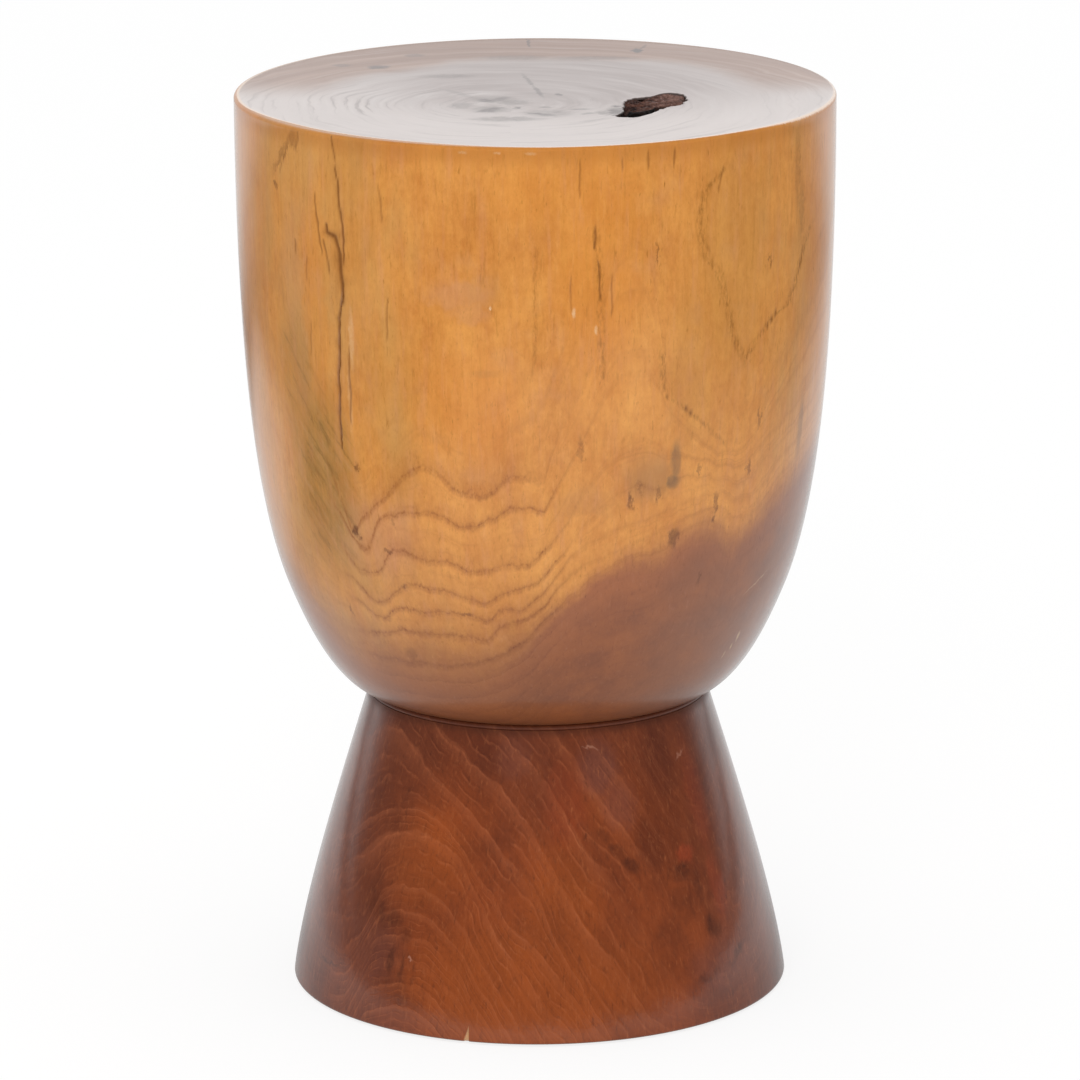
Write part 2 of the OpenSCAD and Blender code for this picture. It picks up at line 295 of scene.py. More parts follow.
def strokes(list_of_strokes, radius, bearings, heights):
    """How deep and how dark each vertex of a wall is, from the strokes cut in it."""
    across, up = np.meshgrid(np.radians(bearings) * radius, heights)
    wobble = 0.12 * np.sin(up * 0.9) + 0.2 * np.sin(up * 0.37 + 1)
    depth, dark = np.zeros(across.shape), np.zeros(across.shape)
    for width, deep, tone, points in list_of_strokes:
        path = np.array([(math.radians(b) * radius, z) for b, z in points])
        d, along = stroke_distance(across + wobble, up, path)
        half = width / 2 * (0.35 + 0.65 * np.sin(np.pi * np.clip(along, 0.02, 0.98)) ** 0.6)
        half = half * (1 + 0.25 * np.sin(up * 0.55 + width * 9))
        depth = np.maximum(depth, 0.6 * deep * np.clip(1.5 * (1 - d / half), 0, 1))
        halo = 0.4 * (1 - d / (half * 2.6))
        core = 0.85 * np.clip(1.2 * (1 - d / (half + 0.5)), 0, 1)
        dark = np.maximum(dark, tone * np.maximum(core, halo))
    return depth, dark


# Pieces

def seat_profile():
    """The seat's outside from the seam to the flat top."""
    seam = np.array([WAIST_R, SEAM_Z])
    rim = np.array([SEAT_R, STOOL_H - RIM_ROUND])
    lean = heading(BELLY_LEAN)
    under = bezier(seam, seam + SEAM_PULL * heading(SEAM_LEAN), BELLY - UNDER_PULL * lean, BELLY, BELLY_STEP)
    wall = bezier(BELLY, BELLY + SIDE_PULL * lean, rim - (0, WALL_PULL), rim, WALL_STEP)
    edge = arc((SEAT_R - RIM_ROUND, STOOL_H - RIM_ROUND), RIM_ROUND, 0, 90, 7)
    start = [np.array([WAIST_R - SEAM_ROUND, SEAM_Z])]
    under[0] = under[0] + (-0.1, 0.15)
    return denser(chain(start, under, wall, edge), *CRACK_HEIGHTS, FINE_STEP)


def knot_radius(angles):
    """Distance from the knot's middle to its pocket's outline, for angles in plan."""
    outline = smooth_loop(KNOT_SHAPE) * KNOT_L
    around = np.arctan2(outline[:, 1], outline[:, 0])
    order = np.argsort(around)
    lip = np.interp(angles, around[order], np.hypot(*outline.T)[order], period=2 * math.pi)
    rough = roughness([(20 * math.cos(a), 20 * math.sin(a), 3) for a in angles], 0.3, 5)
    return lip + 1.6 * np.clip(rough, -1, 0.4)


def roughness(points, scale, octaves=4):
    """Smooth noise at a list of points, between about -1 and 1."""
    return np.array([noise.fractal(Vector(p) * scale, 1.0, 2.0, octaves) for p in points])


def seat_top(edge):
    """Rings from the top's edge in to the knot's lip, down its pocket and over its floor, and how dark
    each is."""
    out = edge[:, :2] - KNOT_AT
    angles, reach = np.arctan2(out[:, 1], out[:, 0]), np.hypot(*out.T)
    lip = knot_radius(angles)
    direction = np.stack([np.cos(angles), np.sin(angles)], axis=1)

    def at(radius, z):
        """A ring round the knot's middle."""
        flat = KNOT_AT + direction * radius[:, None]
        return np.column_stack([flat, np.broadcast_to(z, angles.shape)])

    shares = np.linspace(1, 0, TOP_RINGS)[1:] ** 1.25
    flat = [at(lip + LIP_WIDTH + (reach - lip - LIP_WIDTH) * s, STOOL_H) for s in shares]
    drops = [(0.9, 0.05), (0.4, 0.25), (0.1, 0.7), (0.0, 1.4), (-0.1, 3.0), (-0.2, 6.0), (-0.2, 10.0),
             (-0.4, 13.2), (-1.2, KNOT_DEPTH)]
    pocket = [at(lip + grow, STOOL_H - drop) for grow, drop in drops]
    floor = [at((lip - 1.2) * s, STOOL_H - KNOT_DEPTH) for s in (0.75, 0.5, 0.25, 0.08)]
    rings = flat + pocket + floor
    # Painted shade: the pocket's walls and floor darken down to black, for the shade inside the recess.
    darks = [0.0] * len(flat) + [0.2, 0.8, 0.93] + [1.0] * (len(pocket) + len(floor) - 3)
    return rings, darks


def make_seat():
    """The seat block: its mortise, cracked wall, flat top and the knot's pocket, in one skin."""
    zones = [(*CRACK_BEARINGS, CRACK_STEP)]
    for *_, points in SEAT_STROKES:
        side = [b for b, z in points]
        zones.append((min(side) - FLECK_SIDE, max(side) + FLECK_SIDE, FLECK_STEP))
    bearings = columns(COARSE_STEP, zones)
    profile = seat_profile()
    depth, dark = strokes(SEAT_STROKES, SEAT_R, bearings, profile[:, 1])
    depth *= (profile[:, 1] > BELLY[1])[:, None]
    mortise_r = TENON_R + GLUE_GAP
    mortise_top = TENON_TOP + TENON_AIR
    inside = chain(line((BORE_R, BORE_TOP), (BORE_R, mortise_top), 16),
                   line((BORE_R, mortise_top), (mortise_r, mortise_top), 8),
                   line((mortise_r, mortise_top), (mortise_r, SEAM_Z), 10),
                   line((mortise_r, SEAM_Z), (WAIST_R - SEAM_ROUND - 2, SEAM_Z), 12))
    rings = [ring(r, z, bearings) for r, z in inside]
    darks = [np.zeros(len(bearings))] * len(inside)
    for k, (r, z) in enumerate(profile):
        rings.append(ring(r - depth[k], z, bearings))
        darks.append(dark[k])
    top_rings, top_darks = seat_top(rings[-1])
    skin = Skin()
    numbers = skin.rings(rings + top_rings, darks + top_darks)
    skin.cap(numbers[0], (0, 0, BORE_TOP))
    # The pocket's floor is painted black as shade.
    skin.cap(numbers[-1], (*KNOT_AT, STOOL_H - KNOT_DEPTH), 1.0)
    return skin.build("seat_drum_wood")


def foot_profile():
    """The foot's outside from its flat bottom up to the shoulder below the seat."""
    low = np.array([BASE_R, FOOT_Z + BASE_ROUND])
    top_r = WAIST_R - SEAM_STEP
    high = np.array([top_r, SEAM_Z - 2 * BEAD_R])
    side = bezier(low, low + BASE_PULL * heading(90 + BASE_LEAN),
                  high - FLARE_PULL * heading(90 + FLARE_LEAN), high, WALL_STEP)
    bead = arc((NECK_R, SEAM_Z - BEAD_R - BEAD_AIR), BEAD_R, -65, 90, 12)
    edge = arc((BASE_R - BASE_ROUND, FOOT_Z + BASE_ROUND), BASE_ROUND, -90, 0, 5)
    shoulder = [np.array([NECK_R, SEAM_Z])]
    return denser(chain(edge, side, bead, shoulder), FOOT_Z, FOOT_Z + 12, FINE_STEP)


def make_foot():
    """The foot block, with its tenon, its hollow underside, a chip in its edge and the pads' pockets."""
    bearings = columns(COARSE_STEP, [(CHIP_BEARING - CHIP_SIDE, CHIP_BEARING + CHIP_SIDE, CHIP_STEP)])
    profile = foot_profile()
    across = np.radians(bearings - CHIP_BEARING) * BASE_R
    up = (profile[:, 1] - FOOT_Z)[:, None]
    inward = np.clip(1 - np.abs(across[None, :] - 0.15 * up) / (CHIP_W / 2) - up / CHIP_H, 0, 1)
    chip = CHIP_DEPTH * np.clip(inward * 1.6, 0, 1)
    relief = FOOT_Z + RELIEF_DEPTH
    tenon = chain(line((NECK_R, SEAM_Z), (TENON_R, SEAM_Z), 12),
                  line((TENON_R, SEAM_Z), (TENON_R, TENON_TOP - 1), 8),
                  line((TENON_R, TENON_TOP - 1), (TENON_R - 1, TENON_TOP), 1),
                  line((TENON_R - 1, TENON_TOP), (HOLE_R, TENON_TOP), 7))
    hollow = chain(line((HOLE_R, TENON_TOP), (HOLE_R, SOCKET_TOP), 12),
                   line((HOLE_R, SOCKET_TOP), (SOCKET_R, SOCKET_TOP), 6),
                   line((SOCKET_R, SOCKET_TOP), (SOCKET_R, relief), 10),
                   line((SOCKET_R, relief), (RELIEF_R, relief), 8),
                   line((RELIEF_R, relief), (RELIEF_R, FOOT_Z), 2))
    rest = chain(tenon, hollow)[1:]
    rings = [ring(r - chip[k], z, bearings) for k, (r, z) in enumerate(profile)]
    rings += [ring(r, z, bearings) for r, z in rest]
    blank = np.zeros(len(bearings))
    pales = [np.clip(inward[k] * 3, 0, 1) for k in range(len(profile))] + [blank] * len(rest)
    skin = Skin()
    numbers = skin.rings(rings, None, pales)
    loops = [numbers[0], numbers[-1]]
    for i in range(4):
        loops.append(cut_pad_pocket(skin, i + 1))
    return skin.build("foot_wood", loops)


def pad_place(i):
    """Middle and radius of a felt pad in plan, and the height of its top."""
    low, high = box_mm(f"felt_pad_{i}")
    return (low + high)[:2] / 2, (high - low)[0] / 2, high[2]


def circle(centre, radius, z, count=64):
    """Points round a circle that lies flat."""
    a = np.linspace(0, 2 * math.pi, count, endpoint=False)
    x, y = centre[0] + radius * np.cos(a), centre[1] + radius * np.sin(a)
    return np.column_stack([x, y, np.full(count, z)])


def cut_pad_pocket(skin, i):
    """A round pocket in the foot's bottom; gives back the loop where it meets the bottom."""
    centre, radius, top = pad_place(i)
    mouth = radius + PAD_GAP
    numbers = skin.rings([circle(centre, mouth, FOOT_Z), circle(centre, mouth, top - 0.3),
                          circle(centre, mouth - 0.3, top), circle(centre, mouth / 2, top)])
    skin.cap(numbers[-1], (*centre, top))
    return numbers[0]


def make_felt(i):
    """One felt pad, with rounded edges."""
    centre, radius, top = pad_place(i)
    skin = Skin()
    edge = chain(arc((radius - PAD_ROUND, PAD_ROUND), PAD_ROUND, -90, 0, 5),
                 arc((radius - PAD_ROUND / 2, top - PAD_ROUND / 2), PAD_ROUND / 2, 0, 90, 3))
    shape = chain([(radius * s, 0.0) for s in (0.3, 0.6, 0.85)], edge,
                  [(radius * s, top) for s in (0.8, 0.4)])
    numbers = skin.rings([circle(centre, r, z, 72) for r, z in shape])
    skin.cap(numbers[0], (*centre, 0))
    skin.cap(numbers[-1], (*centre, top))
    return skin.build(f"felt_glide_{i}")


def make_knot():
    """The dead knot: a rough lump of bark with a notch and a hole; its front, notch, hole and edge carry
    painted shade.
    """
    angles = np.linspace(-math.pi, math.pi, 240, endpoint=False)
    outline = knot_radius(angles) * KNOT_FILL
    direction = np.stack([np.cos(angles), np.sin(angles)], axis=1)
    near = np.clip(1.4 * (-direction[:, 1] + 0.35 * direction[:, 0]), 0, 1)
    base = STOOL_H - KNOT_DEPTH

    def level(share):
        """The points of one ring of the rough top, and how much painted shade they carry."""
        flat = direction * (outline * share)[:, None]
        points = [(x, y, 0) for x, y in flat]
        x, y = (flat + KNOT_AT).T
        notch = np.exp(-((x - KNOT_NOTCH[0]) / 2.2) ** 2 - ((y - KNOT_NOTCH[1]) / 4.5) ** 2)
        hole = np.clip(1.3 - np.hypot((x - KNOT_HOLE[0]) / 3.0, (y - KNOT_HOLE[1]) / 6.5), 0, 1)
        front = near * np.clip((share - 0.62) / 0.14, 0, 1)
        shadow = near * np.clip((share - 0.48 - 0.1 * (x > 60)) / 0.1, 0, 1)
        edge = (0.2 + 0.8 * near) * np.clip((share - 0.9) / 0.08, 0, 1)
        rough = 0.7 * roughness(points, 0.16) + 0.8 * roughness(points, 0.4) + 0.5 * roughness(points, 1.0)
        fall = 0.5 + 3.4 * front + 2.2 * np.maximum(notch, hole) + 0.5 * edge
        top = np.minimum(STOOL_H - fall + 0.9 * rough, STOOL_H - 0.05)
        # Painted shade: dark in the front's shadow, in the notch and the hole, and along the crevice at the
        # edge; less on raised lumps.
        dark = np.clip(np.maximum.reduce([shadow, notch, hole, 0.5 * edge]) - 0.5 * rough, 0, 1)
        return np.column_stack([flat + KNOT_AT, np.maximum(top, base + 2)]), dark

    def flank(share, lift):
        """The points of one ring of the smooth flank, which is painted black as shade."""
        flat = direction * (outline * share)[:, None] + KNOT_AT
        return np.column_stack([flat, np.full(len(angles), base + lift)]), np.ones(len(angles))

    rings = [flank(0.5, 0), flank(0.94, 0), flank(0.99, 1.5), flank(1.0, 4)]
    rings += [level(share) for share in np.linspace(1.0, 0.02, 56) ** 0.8]
    skin = Skin()
    numbers = skin.rings([points for points, dark in rings], [dark for points, dark in rings])
    skin.cap(numbers[0], (*KNOT_AT, base), 1.0)
    skin.cap(numbers[-1], (*KNOT_AT, np.mean(rings[-1][0][:, 2])))
    return skin.build("dead_knot_bark", sharp=80)


# Shader formulas

def paint(code, alpha=1.0):
    """A colour in the scene's own linear values, from a web colour."""
    parts = [int(code[i:i + 2], 16) / 255 for i in (1, 3, 5)]
    return tuple(c / 12.92 if c <= 0.04045 else ((c + 0.055) / 1.055) ** 2.4 for c in parts) + (alpha,)


class Field:
    """A value that varies over a surface. Arithmetic on it adds nodes."""

    def __init__(self, tree, socket):
        self.tree, self.socket = tree, socket

    def node(self, kind, **settings):
        """A new node with its settings."""
        node = self.tree.nodes.new(kind)
        for key, value in settings.items():
            setattr(node, key, value)
        return node

    def feed(self, socket, value):
        """Links a field to a socket, or sets the socket to a plain value."""
        if isinstance(value, Field):
            self.tree.links.new(value.socket, socket)
        else:
            socket.default_value = value

    def math(self, operation, *others):
        """Arithmetic on this value and others."""
        node = self.node("ShaderNodeMath", operation=operation)
        for socket, value in zip(node.inputs, (self, *others)):
            self.feed(socket, value)
        return Field(self.tree, node.outputs[0])

    def vector(self, operation, *others):
        """Vector arithmetic: a length and a dot product give a value, the rest a vector."""
        node = self.node("ShaderNodeVectorMath", operation=operation)
        for socket, value in zip(node.inputs, (self, *others)):
            self.feed(socket, value)
        kind = "Value" if operation in ("LENGTH", "DOT_PRODUCT") else "Vector"
        return Field(self.tree, node.outputs[kind])

    def __add__(self, other): return self.math("ADD", other)
    def __sub__(self, other): return self.math("SUBTRACT", other)
    def __mul__(self, other): return self.math("MULTIPLY", other)
    def __truediv__(self, other): return self.math("DIVIDE", other)
    def __neg__(self): return self * -1.0
    def __pow__(self, other): return self.math("POWER", other)
    def __abs__(self): return self.math("ABSOLUTE")
    __radd__, __rmul__ = __add__, __mul__

    def __rsub__(self, other): return -self + other

    def low(self, other): return self.math("MINIMUM", other)
    def high(self, other): return self.math("MAXIMUM", other)
    def share(self): return self.math("FRACT")
    def sine(self): return self.math("SINE")

    def ramp(self, start, end, smooth=True, top=1.0):
        """0 at start and before it, top at end and beyond."""
        node = self.node("ShaderNodeMapRange", interpolation_type="SMOOTHSTEP" if smooth else "LINEAR")
        node.inputs["To Max"].default_value = top
        for name, value in (("Value", self), ("From Min", start), ("From Max", end)):
            self.feed(node.inputs[name], value)
        return Field(self.tree, node.outputs[0])

    def curve(self, points, low, high, span=180.0):
        """A drawn curve of this value, which runs from -span to span; its height runs from low to high."""
        node = self.node("ShaderNodeFloatCurve")
        self.feed(node.inputs["Value"], self / (2 * span) + 0.5)
        drawn = node.mapping.curves[0].points
        values = [((x + span) / (2 * span), (y - low) / (high - low)) for x, y in points]
        drawn[0].location, drawn[1].location = values[0], values[-1]
        for value in values[1:-1]:
            drawn.new(*value)
        for point in drawn:
            point.handle_type = "AUTO_CLAMPED"
        node.mapping.update()
        return Field(self.tree, node.outputs[0]) * (high - low) + low

    def mix(self, a, b):
        """A colour: a where this is 0, b where it is 1."""
        node = self.node("ShaderNodeMix", data_type="RGBA", clamp_factor=True)
        self.feed(node.inputs[0], self)
        self.feed(node.inputs[6], a)
        self.feed(node.inputs[7], b)
        return Field(self.tree, node.outputs[2])


class Surface:
    """A material in the making, with the place on the piece in millimetres."""

    def __init__(self, name):
        self.material = bpy.data.materials.new(name)
        self.material.use_nodes = True
        self.tree = self.material.node_tree
        self.shader = self.tree.nodes["Principled BSDF"]
        place = self.tree.nodes.new("ShaderNodeTexCoord")
        scale = self.tree.nodes.new("ShaderNodeVectorMath")
        scale.operation = "MULTIPLY"
        scale.inputs[1].default_value = (1 / MM,) * 3
        self.tree.links.new(place.outputs["Object"], scale.inputs[0])
        self.place = Field(self.tree, scale.outputs[0])
        split = self.tree.nodes.new("ShaderNodeSeparateXYZ")
        self.tree.links.new(scale.outputs[0], split.inputs[0])
        self.x, self.y, self.z = (Field(self.tree, s) for s in split.outputs)
        self.bearing = self.x.math("ARCTAN2", -self.y) * (180 / math.pi)
        # The bearing, led back to 0 behind the stool, so that what grows with it has no step there.
        self.turn = self.bearing * abs(self.bearing).ramp(180.0, 90.0)
        self.radius = (self.x * self.x + self.y * self.y).math("SQRT")

    def noise(self, size, detail=2.0, rough=0.5, shift=0.0, place=None):
        """Noise between about -1 and 1, with features of a size along x, y and z. The shift moves it, so
        that two noises differ."""
        if not isinstance(size, tuple):
            size = (size,) * 3
        spread = self.tree.nodes.new("ShaderNodeMapping")
        spread.inputs["Location"].default_value = (shift, shift * 0.7, shift * 1.3)
        spread.inputs["Scale"].default_value = tuple(1 / s for s in size)
        self.tree.links.new((place or self.place).socket, spread.inputs[0])
        node = self.tree.nodes.new("ShaderNodeTexNoise")
        node.inputs["Scale"].default_value = 1.0
        node.inputs["Detail"].default_value = detail
        node.inputs["Roughness"].default_value = rough
        self.tree.links.new(spread.outputs[0], node.inputs["Vector"])
        return Field(self.tree, node.outputs["Fac"]) * 2.6 - 1.3

    def combine(self, x, y, z=0.0):
        """A vector out of three values, for noise in other coordinates than the place."""
        node = self.tree.nodes.new("ShaderNodeCombineXYZ")
        for socket, value in zip(node.inputs, (x, y, z)):
            self.place.feed(socket, value)
        return Field(self.tree, node.outputs[0])

    def attribute(self, name):
        """A value that the mesh stores for each vertex."""
        node = self.tree.nodes.new("ShaderNodeAttribute")
        node.attribute_name = name
        return Field(self.tree, node.outputs["Fac"])

    def finish(self, colour, height, roughness, **settings):
        """Links the colour, the bump's height in millimetres and the roughness, and sets the rest."""
        shader = self.shader
        self.tree.links.new(colour.socket, shader.inputs["Base Color"])
        if isinstance(roughness, Field):
            self.tree.links.new(roughness.socket, shader.inputs["Roughness"])
        else:
            shader.inputs["Roughness"].default_value = roughness
        bump = self.tree.nodes.new("ShaderNodeBump")
        bump.inputs["Distance"].default_value = MM
        self.tree.links.new(height.socket, bump.inputs["Height"])
        self.tree.links.new(bump.outputs[0], shader.inputs["Normal"])
        if "Coat_Weight" in settings:
            self.tree.links.new(bump.outputs[0], shader.inputs["Coat Normal"])
        for name, value in settings.items():
            self.place.feed(shader.inputs[name.replace("_", " ")], value)
        return self.material


# Wood

# Growth lines on the seat, lowest first, as points (bearing, height). The first is the edge of the dark
# heartwood.
SEAT_LINES = [
    [(-180, 205), (-150, 212), (-120, 228), (-95, 236), (-75, 226), (-62, 210), (-55, 196), (-45, 192),
     (-24, 193), (-13, 197), (-4, 208), (1.5, 221), (6, 233), (10, 241), (13.5, 247), (17.5, 253),
     (26, 256), (30, 264), (35, 267), (39, 265), (44, 256), (48, 261), (57, 272), (65, 281), (75, 288),
     (95, 296), (120, 280), (150, 232), (180, 205)],
    [(-180, 222), (-150, 230), (-120, 246), (-95, 252), (-78, 240), (-66, 222), (-62, 211), (-55, 208),
     (-49, 205), (-39, 206), (-31, 211), (-16, 211), (-12, 210), (-9, 215), (-3, 223), (0.6, 227),
     (4, 238), (8, 248), (13, 254), (20, 260), (30, 270), (38, 273), (45, 265), (57, 280), (75, 297),
     (95, 306), (120, 292), (150, 248), (180, 222)],
    [(-180, 238), (-150, 247), (-120, 264), (-95, 268), (-78, 262), (-62, 243), (-54, 235), (-50, 230),
     (-46, 226), (-41, 221), (-37, 216), (-30, 224), (-26, 222), (-21, 224), (-11, 221), (-8, 226),
     (-3, 229), (0.6, 235), (4, 246), (8, 258), (13, 266), (20, 271), (30, 278), (38, 281), (45, 275),
     (57, 290), (75, 307), (95, 318), (120, 306), (150, 264), (180, 238)],
    [(-180, 252), (-150, 262), (-120, 280), (-95, 286), (-78, 276), (-66, 258), (-57, 248), (-52, 244),
     (-48, 236), (-43, 235), (-39, 227), (-36, 224), (-32, 231), (-27, 237), (-17, 234), (-13, 231),
     (-5, 238), (0.6, 243), (2, 248), (5.6, 259), (8.5, 270), (11.5, 278), (15, 285), (20, 290),
     (24, 287), (30, 292), (38, 289), (44, 284), (52, 293), (60, 302), (75, 320), (95, 335), (120, 322),
     (150, 282), (180, 252)],
    [(-180, 268), (-150, 280), (-120, 300), (-95, 308), (-78, 306), (-62, 299), (-56, 285), (-51, 272),
     (-47, 260), (-43, 248), (-40, 240), (-36, 241), (-32, 252), (-30, 255), (-23, 251), (-19, 252),
     (-14, 247), (-6, 251), (-1, 253), (2, 260), (5.6, 272), (8.5, 286), (11.5, 296), (15, 305),
     (20, 309), (26, 305), (32, 302), (38, 297), (43, 293), (50, 301), (60, 314), (75, 332), (95, 352),
     (120, 342), (150, 300), (180, 268)],
    [(-180, 290), (-150, 302), (-120, 324), (-95, 338), (-78, 342), (-68, 342), (-62, 328), (-56, 311),
     (-51, 295), (-47, 281), (-43, 267), (-40, 256), (-38, 252), (-35.6, 259), (-33, 269), (-30.7, 273),
     (-20, 276), (-15, 271), (-9, 275), (-6, 280), (-3, 282), (0.6, 279), (3, 288), (6, 301), (9, 316),
     (11.5, 330), (15, 344), (19, 349), (23, 341), (26, 327), (32, 314), (38, 303), (42, 301), (46, 305),
     (52, 317), (60, 333), (75, 356), (95, 376), (120, 364), (150, 322), (180, 290)],
    [(-180, 308), (-150, 322), (-120, 346), (-95, 368), (-78, 384), (-68, 386), (-62, 372), (-57, 352),
     (-53, 335), (-50, 319), (-47, 302), (-44, 285), (-42, 271), (-40.5, 262), (-38, 267), (-34, 275),
     (-30, 286), (-25, 297), (-22, 300), (-20.5, 299), (-18, 293), (-15, 288), (-11, 287), (-9, 289),
     (-6.5, 294), (-3.8, 297), (0.6, 296), (3, 312), (6, 329), (9, 344), (11.5, 363), (13, 388),
     (16, 410), (19, 412), (22, 396), (24, 366), (25, 343), (27.5, 333), (32, 324), (36, 313), (39, 308),
     (43, 307), (46, 311), (52, 330), (60, 352), (75, 380), (95, 402), (120, 392), (150, 350),
     (180, 308)],
    [(-180, 345), (-150, 362), (-120, 392), (-95, 430), (-78, 466), (-68, 466), (-62, 446), (-57, 420),
     (-53, 396), (-50, 373), (-47, 350), (-44, 326), (-41, 302), (-38, 297), (-34, 306), (-29, 322),
     (-25, 335), (-22, 340), (-18, 334), (-12, 328), (-6, 337), (-2, 347), (2, 366), (6, 392), (9, 420),
     (12, 452), (16, 468), (24, 468), (28, 452), (32, 422), (34.8, 408), (36.3, 393), (38.4, 376),
     (40, 363), (43.3, 346), (46, 352), (49, 362), (52, 368), (55.5, 374), (58, 383), (60, 392),
     (65, 408), (75, 430), (95, 450), (120, 440), (150, 395), (180, 345)],
]
SEAT_SPAN = (140.0, 480.0)

# The same on the foot, from the small arches near the bottom up to the seam.
FOOT_LINES = [
    [(-180, 10), (-140, 40), (-100, 62), (-75, 40), (-56, 34), (-43, 69), (-35, 74), (-29, 72), (-23, 64),
     (-19, 56), (-16, 47), (-10, 28), (-4, 8), (2, -10), (30, -60), (60, -60), (120, -40), (180, 10)],
    [(-180, 30), (-140, 66), (-100, 86), (-75, 66), (-57, 82), (-51, 93), (-43, 99), (-35, 101),
     (-28, 97), (-23, 91), (-19, 82), (-13, 62), (-7, 44), (0, 24), (8, 2), (30, -50), (60, -50),
     (120, -20), (180, 30)],
    [(-180, 48), (-140, 84), (-100, 104), (-75, 84), (-60, 94), (-54, 102), (-47, 107), (-36, 111),
     (-29, 106), (-22, 95), (-18, 86), (-12, 72), (-7, 59), (0, 47), (9, 20), (15, 2), (30, -30),
     (60, -36), (120, 0), (180, 48)],
    [(-180, 76), (-140, 112), (-100, 134), (-75, 132), (-56, 148), (-44, 141), (-37, 132), (-30, 124),
     (-24, 118), (-16, 106), (-9, 94), (-3, 81), (1, 68), (5, 48), (9, 34), (14, 12), (25, -14),
     (60, -20), (120, 26), (180, 76)],
    [(-180, 106), (-140, 142), (-100, 160), (-75, 172), (-56, 176), (-44, 162), (-33, 150), (-26, 144),
     (-19, 135), (-13, 128), (-7, 117), (-3, 107), (2, 92), (6, 77), (9, 68), (13, 54), (17, 44),
     (22, 26), (30, 6), (60, -4), (120, 56), (180, 106)],
    [(-180, 140), (-140, 170), (-100, 190), (-56, 200), (-33, 180), (-19, 162), (-7, 145), (1, 131),
     (5, 120), (10, 107), (13, 96), (18, 84), (23, 68), (28, 48), (34, 28), (45, 12), (60, 14), (120, 90),
     (180, 140)],
    [(-180, 172), (-140, 200), (-56, 228), (-19, 190), (-7, 176), (1, 163), (8, 146), (14, 132),
     (20, 116), (26, 101), (32, 86), (38, 62), (45, 42), (54, 30), (66, 40), (90, 80), (120, 126),
     (180, 172)],
]
FOOT_SPAN = (-80.0, 240.0)


# Settings of the shader that all lacquered wood shares.
LACQUER = {"Coat_IOR": 1.5, "IOR": 1.45, "Specular_IOR_Level": 0.2}

# The radius at which the top's pale wood ends, and how far the wall's finish wraps past it.
TOP_R, WRAP_LEFT, WRAP_RIGHT = SEAT_R - 1.6, 3.6, 1.2

# Millimetres round the seat's wall and round the foot for one degree of bearing, and the height
# that the curves up the wall count from.
MM_PER_DEGREE = math.radians(1) * 150.0
FOOT_MM_PER_DEGREE = math.radians(1) * 110.0
MIDDLE_Z = 300.0


def scratch(a, b, wide, strength):
    """A straight mark between two points, as a long thin spot."""
    du, dv = b[0] - a[0], b[1] - a[1]
    return ((a[0] + b[0]) / 2, (a[1] + b[1]) / 2, math.hypot(du, dv) / 2, wide, strength,
            math.degrees(math.atan2(dv, du)))


# Specks follow these lines up the seat's wall: half width, darkness and points (height, bearing), from
# below.
SEAT_TRAILS = [
    (2.8, 1.0, [(346, 43.8), (352, 42.3), (362, 40.1), (380, 38.1), (390, 36.8), (396, 35.6), (407, 32.9),
                (421, 32.0), (433, 32.7), (440, 35.0), (445, 37.2)]),
    (3.0, 1.1, [(346, 43.9), (350, 44.4), (359, 47.7), (367, 51.7), (370, 55.8), (379, 58.2), (390, 60.3),
                (400, 62.4), (407, 65.0)]),
    (1.4, 0.7, [(352, -0.6), (372, -0.2), (393, -0.2), (412, 0.0)]),
    (2.2, 0.9, [(345, 12.5), (367, 12.2), (387, 12.0), (406, 11.6), (421, 11.0)]),
    (2.0, 1.0, [(305, 40.1), (319, 33.8), (326, 30.4), (331, 28.0), (342, 24.5), (359, 24.3)]),
]

# Tints of the seat's sapwood: bearing, height, half width, half height and strength.
SEAT_TINTS = [
    ("#bf8c46", [(40, 400, 22, 60, 0.3), (31, 350, 14, 40, 0.25), (-37, 425, 16, 44, 0.25),
                 (-28, 330, 16, 50, 0.2)]),
    ("#c89478", [(-14, 390, 15, 7, 0.25), (-12, 380, 9, 5, 0.2), (-35, 262, 24, 20, 0.3),
                 (-52, 370, 12, 50, 0.15)]),
    ("#e0892c", [(12, 400, 20, 60, 0.35), (-12, 330, 26, 26, 0.35), (-46, 370, 8, 50, 0.3),
                 (0, 440, 20, 14, 0.25)]),
    ("#b07a48", [(22, 295, 13, 12, 0.45), (10, 284, 16, 8, 0.25)]),
]

OLIVE_ZONE = [(-47, 285, 20, 44, 0.8), (-42, 300, 9, 24, 0.6), (-53, 330, 14, 40, 0.5)]

